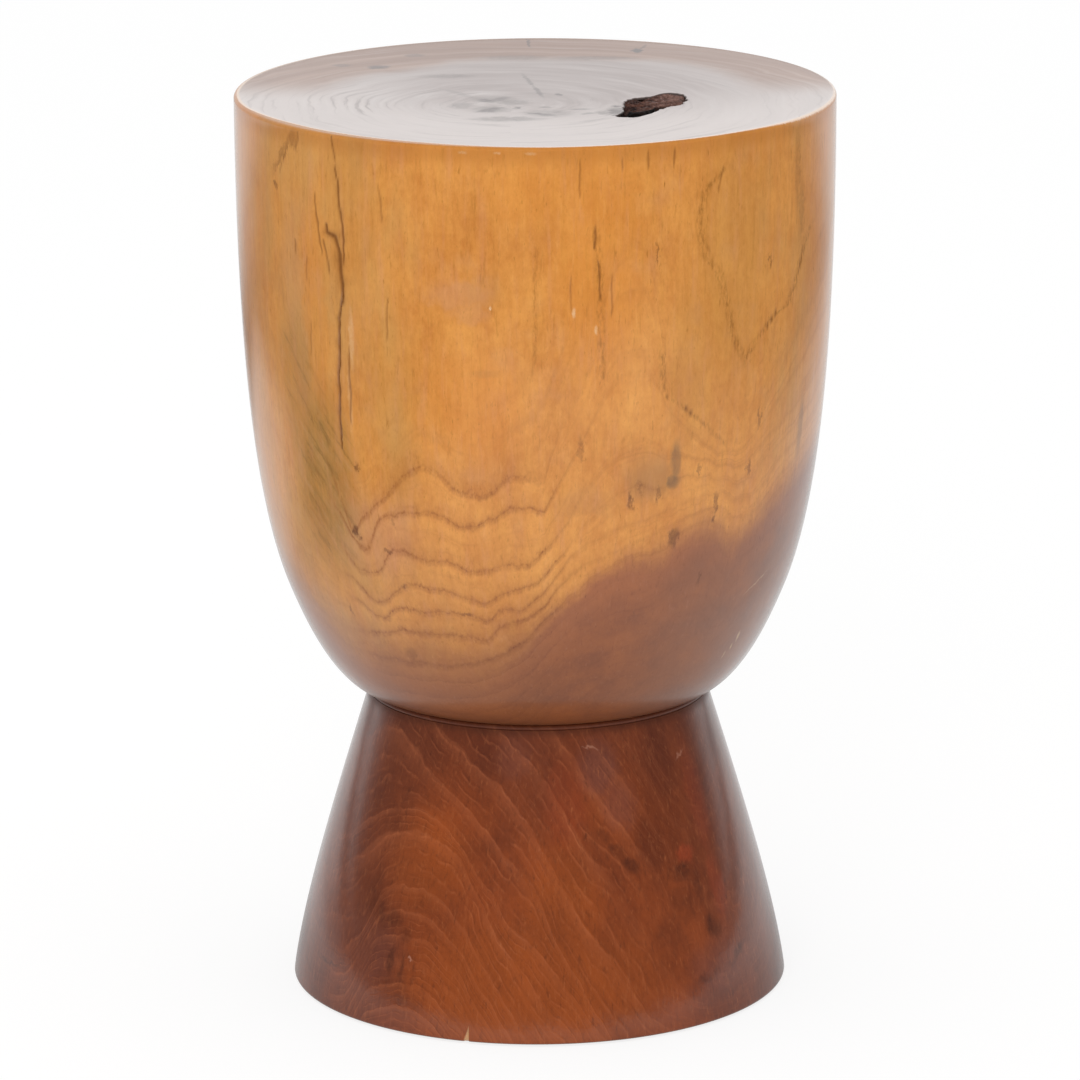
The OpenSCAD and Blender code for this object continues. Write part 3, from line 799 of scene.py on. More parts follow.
# Marks in the seat's wall: bearing, height, half width, half height and strength.
SEAT_SMUDGES = [
    (27.9, 301, 3.0, 10.0, 0.6), (27.5, 291.5, 3.6, 4.0, 0.75), (24.0, 293, 14.0, 8.0, 0.2),
    (64.5, 303, 3.0, 14.0, 0.45), (-9.5, 391, 9.0, 9.0, 0.12), (-9.5, 350, 7.0, 2.0, 0.15)]
SEAT_MARKS = [
    (28.6, 262, 3.0, 5.0, 0.7), (18.5, 283.6, 1.5, 4.2, 0.65), (24.5, 285, 0.8, 5.0, 0.45),
    (38.2, 276, 1.1, 5.0, 0.6), (38.1, 268, 1.5, 1.8, 0.7), (20.4, 290, 0.9, 3.5, 0.4),
    (33.5, 295, 1.3, 3.3, 0.45), (46.4, 291.5, 1.3, 4.0, 0.6), (48.3, 316, 1.0, 5.0, 0.5),
    (8.4, 312, 1.6, 6.0, 0.35), (36.3, 237.5, 1.0, 4.0, 0.5), (-37.7, 296, 1.8, 2.2, 0.6),
    (-39.7, 262, 1.8, 3.2, 0.8), (-45.8, 218, 1.0, 2.8, 0.5), (-31.8, 254, 2.0, 1.1, 0.55),
    (-29.0, 236, 2.0, 1.3, 0.5), (-15.5, 224.5, 3.2, 1.1, 0.6), (-57.7, 431, 1.2, 1.6, 0.6),
    (58.4, 437, 2.6, 20.0, 0.25), (60.3, 416, 2.6, 14.0, 0.25), (-31.0, 198, 5.0, 3.0, 0.35),
    (-55.3, 447, 12.0, 2.0, 0.4, 50), (-51.5, 456, 3.0, 5.0, 0.4), (23.0, 408, 1.0, 5.0, 0.5),
    (49.7, 395, 0.8, 3.0, 0.5), (-30.0, 270, 1.0, 2.0, 0.3)]
SEAT_SCUFFS = [
    (56.3, 196.3, 1.2, 2.6, 0.7), (54.9, 191.4, 0.7, 1.4, 0.8), (53.0, 187.5, 0.6, 2.0, 0.5),
    (7.0, 380.5, 0.7, 2.4, 0.6), (11.2, 371.6, 0.7, 2.2, 0.6), (-8.5, 383, 0.5, 0.8, 0.7),
    (-13.3, 459.2, 2.0, 0.7, 0.5), (-7.0, 459.4, 1.4, 0.6, 0.5), (-0.9, 459.2, 2.4, 0.7, 0.5),
    (55.7, 226, 10.0, 0.4, 0.35, 24), (-37.2, 362, 1.5, 14.0, 0.35), (-38.2, 330, 1.3, 16.0, 0.25)]

# Where the growth rings of the top and of the foot's underside have their middle, in plan.
PITH, FOOT_PITH = (-12.0, -38.0), (38.0, 59.0)

# Out to this radius the top is grey or whitish, and tan beyond it at the back: bearing, radius.
TAN_EDGE = [
    (-180, 88), (-158, 92), (-134, 86), (-120, 96), (-97, 104), (-82, 106), (0, 112), (60, 113),
    (108, 108), (133, 106), (160, 92), (180, 88)]

# Marks on the top, in plan: middle, half sizes and strength. TOP_CLEAR is where the rings show best.
TOP_CLEAR = [
    (-93, -18, 22, 44, 1.0), (-40, -14, 18, 34, 0.8), (134, 5, 14, 40, 0.7), (36, -60, 40, 26, 0.5)]
# The marks at (40, -58), (34, -61) and (41, -68.5), by the knot's front end, are painted shade: a grey
# shading over a shallow hollow and a black wedge of shadow.
TOP_MARKS = [
    (-36, -40, 5, 8, 0.3), (-80, 67, 5, 5, 0.65), (-99, 72, 5, 4, 0.35), (-62, 100, 5, 4, 0.35),
    (53, 111, 2.4, 6, 0.9), (-10, 92, 16, 6, 0.3), (30, 90, 20, 5, 0.3), (-45, 40, 12, 5, 0.3),
    (-11, -32, 7, 7, 0.35), (-14, -76, 16, 6, 0.4), (-20, -24, 11, 7, 0.3), (-22, -51, 9, 8, 0.35),
    (7, -62, 11, 9, 0.3), (12, -12, 2.0, 3.5, 0.6), (-8.7, -47, 1.8, 3.0, 0.6), (40, -58, 4.5, 9.0, 0.75),
    (34, -61, 4.0, 5.0, 0.4), (41, -68.5, 3.4, 1.8, 1.0), (40.5, -44, 2.4, 2.6, 0.7)]
TOP_CRACKS = [
    scratch((-27, -23), (-21, -32), 3.0, 0.7), scratch((-23, -32), (-14, -18), 3.0, 0.55),
    scratch((-27, -57), (-17, -46), 3.2, 0.75), scratch((-25, -56), (-21, -53), 4.5, 0.6),
    scratch((-4, -60), (9, -68), 2.2, 0.6), scratch((2, -45), (8, -47), 2.0, 0.45),
    scratch((17, -52), (28, -51), 2.0, 0.45), scratch((23, -65), (29, -61), 2.0, 0.45),
    scratch((-46, 4), (-27, -24), 2.0, 0.2), scratch((-6, 44), (-0.5, 9), 1.0, 0.45),
    scratch((-1, 12), (4, -18), 1.2, 0.55), scratch((-4, 146), (-2.5, 123), 0.8, 0.7),
    scratch((54, 112), (58, 128), 0.8, 0.5)]

# Marks on the foot: bearing, height, half width, half height and strength.
FOOT_SPOTS = [
    (-43.3, 57, 3.0, 6.0, 0.35), (-39.5, 56, 4.5, 4.0, 0.4), (-35, 49.8, 3.0, 3.2, 0.4),
    (-38.1, 35.5, 1.8, 7.5, 0.4), (-34.9, 33, 1.2, 7.0, 0.4), (-31.8, 30.6, 1.0, 6.0, 0.35),
    (-34.4, 17, 3.0, 3.0, 0.25), (18.5, 101, 5.5, 2.4, 0.35, -40), (22.1, 93, 5.5, 2.8, 0.4, -50),
    (25.8, 85, 5.5, 3.0, 0.45, -40), (40.8, 78, 6.5, 4.0, 0.6, 10), (45.6, 70, 3.0, 9.0, 0.4),
    (48.7, 47.4, 6.0, 4.4, 0.5, -60), (40, 62, 7, 8, 0.25), (34, 50, 9, 6, 0.2), (-47, 68, 4, 12, 0.2),
    (55.5, 30, 8.0, 2.4, 0.45, 30), (44, 24, 8.0, 3.0, 0.3, 10), (-59, 24, 9.0, 0.7, 0.5, 6)]
FOOT_GLINTS = [
    (16.6, 144, 4.0, 0.6, 0.5, -6), (49.7, 133, 4.0, 1.0, 0.35, 30), (-33, 38, 0.8, 0.8, 0.6)]
FOOT_TINTS = [
    ("#ae5416", [(-33, 86, 24, 22, 0.35), (-2, 26, 56, 34, 0.5), (6, 62, 20, 30, 0.4)]),
    ("#4d1d0c", [(40, 132, 11, 24, 0.5), (38, 110, 11, 26, 0.4), (-46, 50, 12, 20, 0.35),
                 (33, 96, 10, 14, 0.4)]),
    ("#7f4d42", [(19, 134, 12, 13, 0.55), (24, 116, 10, 12, 0.35), (-8, 140, 10, 10, 0.3),
                 (-50, 38, 24, 16, 0.4), (50, 30, 18, 12, 0.3)]),
    ("#a5401c", [(43.5, 86, 6, 4, 0.55), (53, 66, 5, 16, 0.4), (8, 120, 12, 20, 0.25),
                 (53, 112, 7, 26, 0.35)]),
]


def on_wall(marks):
    """Marks of the seat's wall with their bearings in millimetres round it."""
    return [(bearing * MM_PER_DEGREE, *rest) for bearing, *rest in marks]


def on_foot(marks):
    """Marks of the foot with their bearings in millimetres round it."""
    return [(bearing * FOOT_MM_PER_DEGREE, *rest) for bearing, *rest in marks]


def level_of(surface, lines, span, height, below, above):
    """How many growth lines are below a height, with the space between two lines as a fraction; the
    height over the first line; and how far off the nearest line is."""
    curves = [surface.bearing.curve(points, *span) for points in lines]
    rises = [height - curve for curve in curves]
    level, near = (rises[0] / below).low(0.0), abs(rises[0])
    for rise, low, high in zip(rises, curves, curves[1:]):
        level = level + (rise / (high - low).high(1.0)).high(0.0).low(1.0)
    for rise in rises[1:]:
        near = near.low(abs(rise))
    return level + (rises[-1] / above).high(0.0), rises[0], near


def ring_tone(level, rise=0.04, sharp=14.0):
    """Darkness across one growth ring: a dark line at its start, and a shade that fades out above it."""
    t = level.share()
    return t.ramp(0.0, rise) * ((1.0 - t) ** sharp * 0.6 + (1.0 - t) ** 3.0 * 0.4)


def ring_glow(level, start=0.76):
    """Paleness just short of the next ring's dark line."""
    t = level.share()
    return t.ramp(start, 0.94) * t.ramp(1.0, 0.96)


def streaks(surface, size, length, start, end, shift=0.0):
    """Short dark or pale marks along the grain: 1 on a mark and 0 off it."""
    return surface.noise((size, size, length), 3.0, 0.6, shift).ramp(start, end)


def spots(s, u, v, marks):
    """The strongest of some soft spots in the coordinates u and v. A mark is its middle, its half sizes,
    its strength and, if it's turned, its angle in degrees."""
    place, total = s.combine(u, v), None
    for middle_u, middle_v, wide, tall, strength, *turn in marks:
        local = place
        if turn:
            c, d = heading(turn[0])
            local = s.combine(place.vector("DOT_PRODUCT", (c, d, 0)),
                              place.vector("DOT_PRODUCT", (-d, c, 0)))
            middle_u, middle_v = c * middle_u + d * middle_v, c * middle_v - d * middle_u
        middle = (-middle_u / wide, -middle_v / tall, 0)
        local = local.vector("MULTIPLY_ADD", (1 / wide, 1 / tall, 0), middle)
        spot = local.vector("LENGTH").ramp(1.5, 0.5, top=strength)
        total = spot if total is None else total.high(spot)
    return total


def trails(s, drawn, scale):
    """The strongest of some lines drawn up a wall: half width, strength, points (height, bearing)."""
    total = None
    for wide, strength, points in drawn:
        bearings = [b for z, b in points]
        drawn_up = [(z - MIDDLE_Z, b) for z, b in points]
        line = (s.z - MIDDLE_Z).curve(drawn_up, min(bearings) - 1, max(bearings) + 1)
        near = (abs(s.bearing - line) * (scale / wide)).ramp(1.0, 0.1)
        low, high = points[0][0], points[-1][0]
        near = near * s.z.ramp(low - 5.0, low + 3.0) * s.z.ramp(high + 5.0, high - 3.0) * strength
        total = near if total is None else total.high(near)
    return total


def seat_rings(s, level, near, grit):
    """How dark the seat's growth lines make it: ragged lines with specks above them, strongest in front."""
    patch = s.noise((14, 14, 12), 3.0, 0.55, 2.0)
    speck = s.noise((1.5, 1.5, 2.6), 2.0, 0.6, 29.0)
    right_end = s.bearing + level.ramp(5.8, 6.4) * 9.0
    front = s.bearing.ramp(-70.0, -52.0) * right_end.ramp(9.0, 0.0)
    shown = (1.0 - level.ramp(6.5, 6.95) * 0.9) * (front * 0.7 + 0.3)
    shown = shown * (1.0 - s.turn.ramp(-40.0, -47.0) * 0.8)
    line = (near + grit * 1.2).ramp(2.9, 0.0) * (patch * 0.45 + speck * 0.5 + 0.62).high(0.1)
    above = level.share()
    specks = above.ramp(0.0, 0.03) * above.ramp(0.35, 0.1) * speck.ramp(0.1, 0.8) * (patch + 0.5).high(0.0)
    shade = above.ramp(0.0, 0.04) * (1.0 - above) ** 3.0 * (speck * 0.4 + 0.9)
    return (line * 0.6 + specks * 0.4 + shade * 0.3) * shown


def seat_sap(s, mottle):
    """The seat's orange sapwood: blotched, tan at both sides, with pinkish patches."""
    blotch = s.noise((26, 26, 34), 4.0, 0.55, 4.0)
    band = s.noise((8, 8, 120), 3.0, 0.6, 7.0)
    colour = (blotch * 0.5 + band * 0.3 + mottle * 0.45 + 0.5).mix(paint("#cb7e34"), paint("#eba24f"))
    tan = s.noise((20, 20, 56), 3.0, 0.55, 12.0) * 0.7 + s.turn.ramp(-4.0, -48.0) * 0.7
    tan = (tan + s.turn.ramp(36.0, 60.0) * 0.5 - 0.15).ramp(0.0, 1.0)
    colour = (tan * 0.6).mix(colour, paint("#c89a5c"))
    pink = s.noise((18, 18, 24), 3.0, 0.55, 15.0).ramp(0.05, 0.8)
    colour = (pink * 0.22).mix(colour, paint("#d09a70"))
    drift = s.noise((10, 10, 18), 3.0, 0.6, 11.0) * 10.0
    place = (s.bearing * MM_PER_DEGREE + drift, s.z + drift)
    for tint, zones in SEAT_TINTS:
        colour = spots(s, *place, on_wall(zones)).mix(colour, paint(tint))
    sides = s.turn.ramp(-58.0, -76.0).high(s.turn.ramp(56.0, 74.0))
    return (sides * (band * 0.3 + 0.55)).mix(colour, paint("#d98f54"))


def seat_heart(s, mottle, rise):
    """The seat's dark heartwood: reddish at its edge, purplish and greyer deeper in and on the right; the
    grey on the right is partly a painted sheen.
    """
    cloud = s.noise((22, 22, 17), 4.0, 0.6, 21.0)
    colour = (cloud * 0.8 + mottle * 0.15 + 0.5).mix(paint("#aa6234"), paint("#7e452c"))
    colour = (s.noise((9, 9, 7), 3.0, 0.6, 23.0).ramp(0.1, 0.9) * 0.4).mix(colour, paint("#6d3a2c"))
    # Greyer on the right: partly the wood's tone, partly a painted sheen.
    right = s.turn.ramp(14.0, 40.0)
    colour = (right * (cloud * 0.2 + 0.5)).mix(colour, paint("#8e6048"))
    edge = rise.ramp(-36.0, -4.0) * (mottle * 0.2 + 0.6) * (1.0 - right * 0.5)
    return edge.mix(colour, paint("#b06a40"))


def seat_grain(s, colour, heart, grit):
    """The seat's colour with its pores and fibres: dark dashes in clusters, pale dashes, tinted bands."""
    pore = paint("#a2651c"), paint("#6f3a22")
    band = s.noise((4, 4, 36), 3.0, 0.55, 41.0)
    colour = (band.ramp(0.0, 0.8) * 0.25 * (1.0 - heart)).mix(colour, paint("#dc9a70"))
    colour = (band.ramp(0.0, -0.8) * 0.2 * (1.0 - heart)).mix(colour, paint("#e09c40"))
    cluster = s.noise((10, 10, 60), 2.0, 0.5, 32.0).ramp(-0.4, 0.5)
    dashes = streaks(s, 1.5, 8.0, 0.3, 0.8, 35.0) * cluster * (s.turn.ramp(-6.0, 30.0) * 0.3 + 0.75)
    grain = streaks(s, 1.7, 12.0, 0.15, 0.8, 31.0) * 0.4 + streaks(s, 1.2, 4.0, 0.3, 0.7, 37.0) * 0.4
    colour = (dashes + grain + grit.ramp(0.0, 1.2) * 0.25).mix(colour, heart.mix(*pore))
    long = s.noise((2.0, 2.0, 70), 3.0, 0.6, 39.0)
    colour = (long.ramp(0.1, 0.9) * 0.22).mix(colour, heart.mix(*pore))
    light = streaks(s, 1.7, 18.0, 0.2, 0.9, 43.0) + streaks(s, 1.2, 4.0, 0.35, 0.8, 47.0) * 0.6
    pale = paint("#f0ac62"), paint("#bb7f60")
    return (light * 0.36 + long.ramp(-0.1, -0.9) * 0.2).mix(colour, heart.mix(*pale))


def left_streaks(s, u, v, colour, mottle):
    """The olive zone low on the seat's left, with streaks that run down to the right."""
    zone = spots(s, u, v, on_wall(OLIVE_ZONE))
    across, along = u * 0.74 + v * 0.67, v * 0.74 - u * 0.67
    streak = s.noise(1.0, 3.0, 0.6, 34.0, s.combine(across / 3.4, along / 26.0))
    colour = (zone * (mottle * 0.5 + 0.65)).mix(colour, paint("#947038"))
    colour = (zone * streak.ramp(0.0, -0.9) * 0.5).mix(colour, paint("#cfa073"))
    return (zone * streak.ramp(0.0, 0.8) * 0.85).mix(colour, paint("#664c20"))


def seat_marks(s, colour, u, v, mottle, grit):
    """The seat's colour with its speckled lines, smudges, dark marks and pale scuffs."""
    dotted = s.noise((1.5, 1.5, 4.0), 3.0, 0.6, 33.0).ramp(-0.4, 0.7)
    colour = (trails(s, SEAT_TRAILS, MM_PER_DEGREE / 1.5) * dotted * 0.65).mix(colour, paint("#84500f"))
    colour = (spots(s, u, v, on_wall(SEAT_SMUDGES)) * (mottle * 0.4 + 0.8)).mix(colour, paint("#63503c"))
    ragged = mottle * 3.0
    dark = spots(s, u + ragged, v - ragged, on_wall(SEAT_MARKS)) * (grit * 0.4 + 0.85)
    colour = dark.mix(colour, paint("#5e2e0c"))
    return (spots(s, u, v, on_wall(SEAT_SCUFFS)) * (grit * 0.5 + 0.7)).mix(colour, paint("#f3cfa2"))


def seat_ends(s, colour, low, waver, mottle, grit):
    """The seat's colour, darker towards the seam by painted shade, darker below the rim, and the pale end
    grain on the top with a painted highlight along its edge.
    The finish wraps over the rim at the left front. Also gives back where the top is."""
    # Painted shade under the bowl: darker towards the seam.
    colour = (s.z.ramp(SEAM_Z + 120.0, SEAM_Z + 30.0) * 0.3).mix(colour, paint("#8a5028"))
    # Painted shade in the crease just above the seam.
    colour = (low * 0.42).mix(colour, paint("#573021"))
    band = s.z.ramp(STOOL_H - 12.0, STOOL_H - 3.0) * (mottle * 0.3 + 0.3)
    colour = band.mix(colour, paint("#a9631f"))
    left, right = s.turn.ramp(4.0, -26.0) * s.bearing.ramp(-80.0, -50.0), s.turn.ramp(40.0, 60.0)
    inside = TOP_R - (left * WRAP_LEFT - right * WRAP_RIGHT) + grit * 0.3 - s.radius
    high = s.z.ramp(STOOL_H - 2.0, STOOL_H - 1.2)
    # A painted highlight: a pale line along the top's edge.
    top = inside.ramp(1.8, 0.6).mix(seat_top_colour(s, waver, mottle), paint("#fbe3cf"))
    return (high * inside.ramp(-0.5, 0.4)).mix(colour, top), high


def seat_material():
    """The seat's wood: orange sap, dark heart low down, growth lines, grain, marks and the pale top."""
    s = Surface("seat_wood")
    fibre = s.noise((2.4, 2.4, 60), 4.0, 0.65)
    fine = s.noise((0.9, 0.9, 14), 2.0, 0.6, 5.0)
    waver = s.noise((9, 9, 28), 3.0, 0.5, 9.0)
    mottle = s.noise((3.4, 3.4, 6.0), 4.0, 0.7, 14.0)
    grit = s.noise((1.3, 1.3, 2.2), 2.0, 0.6, 16.0)
    height = s.z + waver * 2.4 + fibre * 1.0 + fine * 0.5
    level, above_heart, near = level_of(s, SEAT_LINES, SEAT_SPAN, height, 10.0, 46.0)
    rise = above_heart + mottle * 1.5 + s.noise((12, 12, 10), 3.0, 0.6, 27.0) * 3.0
    soft = 24.0 - s.turn.ramp(-14.0, 4.0) * 15.0 + s.turn.ramp(14.0, 28.0) * 8.0
    heart = 1.0 - (rise / soft).ramp(-0.8, 0.8)
    colour = heart.mix(seat_sap(s, mottle), seat_heart(s, mottle, rise))
    near_heart = rise.ramp(30.0, -4.0) * (s.noise((24, 24, 20), 3.0, 0.5, 25.0) * 0.5 + 0.55)
    colour = (near_heart * (1.0 - heart * 0.5) * s.turn.ramp(8.0, -4.0)).mix(colour, paint("#a2643a"))
    u = s.bearing * MM_PER_DEGREE + mottle * 1.2
    v = s.z + grit * 0.8
    colour = left_streaks(s, u, v, colour, mottle)

    dark = seat_rings(s, level, near, grit)
    along = s.noise(1.0, 3.0, 0.6, 18.0, s.combine(level * 5.0, s.turn * 0.05, s.z * 0.004))
    faint = along.ramp(0.0, 0.9) * (1.0 - level.ramp(6.3, 7.5) * 0.9) * 0.25
    colour = (faint + dark).mix(colour, heart.mix(paint("#8f4a14"), paint("#6a3520")))
    colour = seat_grain(s, colour, heart, grit)

    colour = seat_marks(s, colour, u, v, mottle, grit)
    # A band just above the seam, for painted shade and for less coat.
    low = s.z.ramp(SEAM_Z + 15.0, SEAM_Z + 1.0)
    colour, high = seat_ends(s, colour, low, waver, mottle, grit)
    # The dark attribute: the cracks and flecks take their own dark brown, and the knot's pocket takes
    # painted shade, black where it is deepest.
    crack_and_pocket_shade = s.attribute("dark")
    colour = crack_and_pocket_shade.mix(colour, high.mix(paint("#74400f"), paint("#40302a")))
    colour = crack_and_pocket_shade.ramp(0.96, 1.0).mix(colour, paint("#1e110c"))
    side = s.z.ramp(STOOL_H - 0.4, STOOL_H - 2.0)
    bump = (fibre * 0.02 + fine * 0.012 + s.noise(22.0, 1.0, 0.5, 61.0) * 0.08) * (side * 0.85 + 0.15)
    rough = crack_and_pocket_shade * 0.25 + 0.42 + fine * 0.04
    coat = (1.0 - high * 0.4) - low * 0.7
    return s.finish(colour, bump, rough, Coat_Weight=coat, Coat_Roughness=0.1, **LACQUER)


def seat_top_colour(s, waver, mottle):
    """The end grain of the seat's top: rings round the pith, grey inside, tan behind, whitish in front; the
    tan back and whitish front are partly the wood's tones and partly a painted reflection.
    """
    dx, dy = s.x - PITH[0], s.y - PITH[1]
    out = (dx * dx + dy * dy).math("SQRT") + s.noise((55, 55, 900), 3.0, 0.5, 53.0) * 8.0
    out = out + s.noise((12, 12, 300), 2.0, 0.5, 54.0) * 0.6
    around = dx.math("ARCTAN2", dy)
    arcs = s.noise(1.0, 3.0, 0.6, 55.0, s.combine(out / 3.2, around * 1.6))
    bands = s.noise(1.0, 2.0, 0.5, 57.0, s.combine(out / 9.0, around * 1.2))
    clear = spots(s, s.x, s.y, TOP_CLEAR)
    beside = s.x.ramp(-30.0, -80.0) * abs(s.y + 25.0).ramp(45.0, 15.0)
    arcs = arcs + (out * 1.1 + around).sine() * beside * 0.3
    edge = s.bearing.curve(TAN_EDGE, 60.0, 130.0)
    # Tan only at the back and whitish at the front: partly the wood's own tones, partly a painted reflection
    # that is brighter in front.
    tan = ((s.radius + waver * 3.0 - edge) / 12.0).ramp(-1.0, 1.0) * s.y.ramp(-25.0, 35.0)
    grey = spots(s, s.x, s.y, [(14, 22, 98, 84, 1.0)])
    colour = (grey * 0.85).mix(paint("#e9deda"), paint("#b7a8a5"))
    colour = tan.mix(colour, paint("#b5978a"))
    band_colour = tan.mix(paint("#dfd5d2"), paint("#d4b6a7"))
    colour = (bands * (clear * 0.5 + 0.5) + 0.2).mix(colour, band_colour)
    colour = (arcs.ramp(0.0, -0.8) * (clear * 0.2 + 0.2)).mix(colour, paint("#f3ebe8"))
    dark = arcs.ramp(0.0, 0.8) * (clear * 0.3 + 0.35) + mottle * 0.05
    colour = dark.mix(colour, tan.mix(paint("#9d918f"), paint("#a48c81")))
    wobble = s.noise((5, 5, 90), 3.0, 0.6, 59.0) * 3.0
    mark = spots(s, s.x + wobble, s.y + wobble, TOP_MARKS) * (mottle * 0.6 + 1.3)
    colour = mark.mix(colour, paint("#897f7d"))
    wobble = wobble * 0.5
    crack = spots(s, s.x + wobble, s.y + wobble, TOP_CRACKS) * (mottle * 0.6 + 1.0)
    return crack.mix(colour, paint("#857c7b"))


def foot_rings(s):
    """The foot's growth rings: their level, how dark they make it, and how pale."""
    fibre = s.noise((2.4, 2.4, 30), 4.0, 0.65, 70.0)
    waver = s.noise((11, 11, 40), 2.0, 0.5, 79.0)
    height = s.z + waver * 2.4 + fibre * 0.8
    swirl = spots(s, s.bearing * FOOT_MM_PER_DEGREE, s.z, on_foot([(48, 64, 34, 44, 1.0)]))
    height = height + swirl * s.noise((16, 16, 20), 2.0, 0.6, 83.0) * 20.0
    level = level_of(s, FOOT_LINES, FOOT_SPAN, height, 12.0, 26.0)[0]
    patch = s.noise((26, 26, 30), 2.0, 0.5, 85.0)
    front = s.bearing.ramp(-66.0, -50.0) * s.bearing.ramp(36.0, 20.0) * 0.75 + 0.25
    shown = patch.ramp(-0.8, 0.3) * front
    finer = level * 3.0 + patch * 0.7 + waver * 0.12
    cut = s.noise((8, 8, 22), 2.0, 0.6, 86.0).ramp(-0.5, 0.5) * front
    dark = ring_tone(level, 0.2, 6.0) * shown * 0.8 + ring_tone(finer, 0.1, 12.0) * cut * 1.2
    return level, dark, ring_glow(level, 0.6) * shown + ring_glow(finer) * cut * 1.3


def foot_grain(s, colour, grit):
    """The foot's colour with its pores and fibres: dark and pale dashes up the foot."""
    long = s.noise((1.9, 1.9, 40), 3.0, 0.6, 93.0)
    grain = streaks(s, 1.6, 9.0, 0.1, 0.8, 91.0) * 0.4 + grit.ramp(0.0, 1.2) * 0.3
    grain = grain + long.ramp(0.1, 0.9) * 0.3
    colour = grain.mix(colour, paint("#421c0a"))
    light = streaks(s, 1.4, 10.0, 0.2, 0.8, 97.0) * 0.3 + long.ramp(-0.1, -0.9) * 0.25
    return light.mix(colour, paint("#c07040"))


def foot_material():
    """The foot's wood: reddish brown, with curved growth rings, dark stains, grain and a raw underside."""
    s = Surface("foot_wood")
    mottle = s.noise((4, 4, 7), 4.0, 0.7, 94.0)
    grit = s.noise((1.4, 1.4, 2.4), 2.0, 0.6, 96.0)
    fine = s.noise((0.9, 0.9, 10), 2.0, 0.6, 75.0)
    broad = s.noise((30, 30, 44), 3.0, 0.5, 89.0)
    colour = (broad * 0.7 + mottle * 0.2 + 0.45).mix(paint("#6e2f12"), paint("#9c4819"))
    ragged = s.noise((6, 6, 8), 3.0, 0.6, 98.0)
    u, v = s.bearing * FOOT_MM_PER_DEGREE + mottle * 1.6 + ragged * 3.0, s.z + grit * 0.8 - ragged * 3.0
    for tint, places in FOOT_TINTS:
        colour = spots(s, u, v, on_foot(places)).mix(colour, paint(tint))
    # Painted shade under the seat: the foot darkens towards its top.
    colour = (s.z.ramp(105.0, 150.0) * 0.45).mix(colour, paint("#5f2d1d"))
    colour = (s.turn.ramp(-28.0, -54.0) * 0.55).mix(colour, paint("#653320"))
    colour = (s.turn.ramp(38.0, 66.0) * 0.5).mix(colour, paint("#5a2c1a"))

    level, dark, pale = foot_rings(s)
    broad_line = s.noise(1.0, 4.0, 0.6, 87.0, s.combine(level * 6.0, s.turn * 0.035, s.z * 0.004))
    thin_line = s.noise(1.0, 3.0, 0.6, 88.0, s.combine(level * 19.0, s.turn * 0.09, s.z * 0.01))
    shade = broad_line.ramp(0.0, 0.8) * 0.18 + thin_line.ramp(0.1, 0.9) * 0.26 + dark * 0.36
    colour = shade.mix(colour, paint("#4f1f0e"))
    shine = broad_line.ramp(0.0, -0.8) * 0.08 + thin_line.ramp(-0.1, -0.9) * 0.16 + pale * 0.16
    colour = shine.mix(colour, paint("#bf6c42"))
    stain = spots(s, u, v, on_foot(FOOT_SPOTS)) * (ragged * 1.1 + 0.85).high(0.0)
    colour = stain.mix(colour, paint("#3a190d"))
    colour = foot_grain(s, colour, grit)
    colour = spots(s, u, v, on_foot(FOOT_GLINTS)).mix(colour, paint("#b88068"))
    # Painted shade in the crease just below the seam, where the coat is also thinned.
    high = s.z.ramp(SEAM_Z - 8.0, SEAM_Z - 3.0)
    colour = (high * 0.5).mix(colour, paint("#4a281c"))

    under = 1.0 - s.z.ramp(FOOT_Z + 0.2, FOOT_Z + 0.9)
    colour = under.mix(colour, foot_end_grain(s, fine))
    colour = s.attribute("pale").mix(colour, paint("#d9a878"))
    bump = grit * 0.01 + fine * 0.012 - dark * 0.03 + s.noise(20.0, 1.0, 0.5, 103.0) * 0.08
    rough = 0.42 + fine * 0.05
    return s.finish(colour, bump, rough, Coat_Weight=1.0 - high * 0.75, Coat_Roughness=0.12, **LACQUER)


def foot_end_grain(s, fine):
    """The raw end grain of the foot's underside: rings round its pith."""
    dx, dy = s.x - FOOT_PITH[0], s.y - FOOT_PITH[1]
    out = (dx * dx + dy * dy).math("SQRT") + s.noise((60, 60, 900), 2.0, 0.5, 5.0) * 7.0
    rings = ring_tone(out / 3.6, 0.3, 5.0)
    return (rings * 0.6 + fine * 0.1).mix(paint("#9a6a44"), paint("#6a4128"))


def bark_material():
    """The knot's bark: dark brown and lumpy, paler on the right, with pale flecks that are partly painted
    highlights, and black where the mesh carries painted shade.
    """
    s = Surface("knot_bark")
    lump = s.noise((4.0, 6.0, 4.0), 3.0, 0.6, 110.0)
    fleck = s.noise((1.8, 3.4, 1.8), 3.0, 0.6, 113.0)
    right = s.x.ramp(50.0, 66.0)
    colour = (lump * 1.1 + 0.5).mix(paint("#2c100a"), paint("#6c4436"))
    colour = (right * 0.6).mix(colour, (lump * 1.0 + 0.5).mix(paint("#62382c"), paint("#a98376")))
    # Pale pinkish flecks: partly the bark's own colour and partly painted highlights on its ridges.
    colour = (fleck.ramp(0.05, 0.8) * (right * 0.4 + 0.35)).mix(colour, paint("#b8958a"))
    colour = (fleck.ramp(-0.1, -0.8) * 0.7).mix(colour, paint("#240e09"))
    # Painted shade from the mesh's dark attribute: black in the crevice, the notch, the hole and on the
    # flank.
    colour = s.attribute("dark").mix(colour, paint("#100705"))
    return s.finish(colour, lump * 0.4 + fleck * 0.25, 0.7, Specular_IOR_Level=0.3)


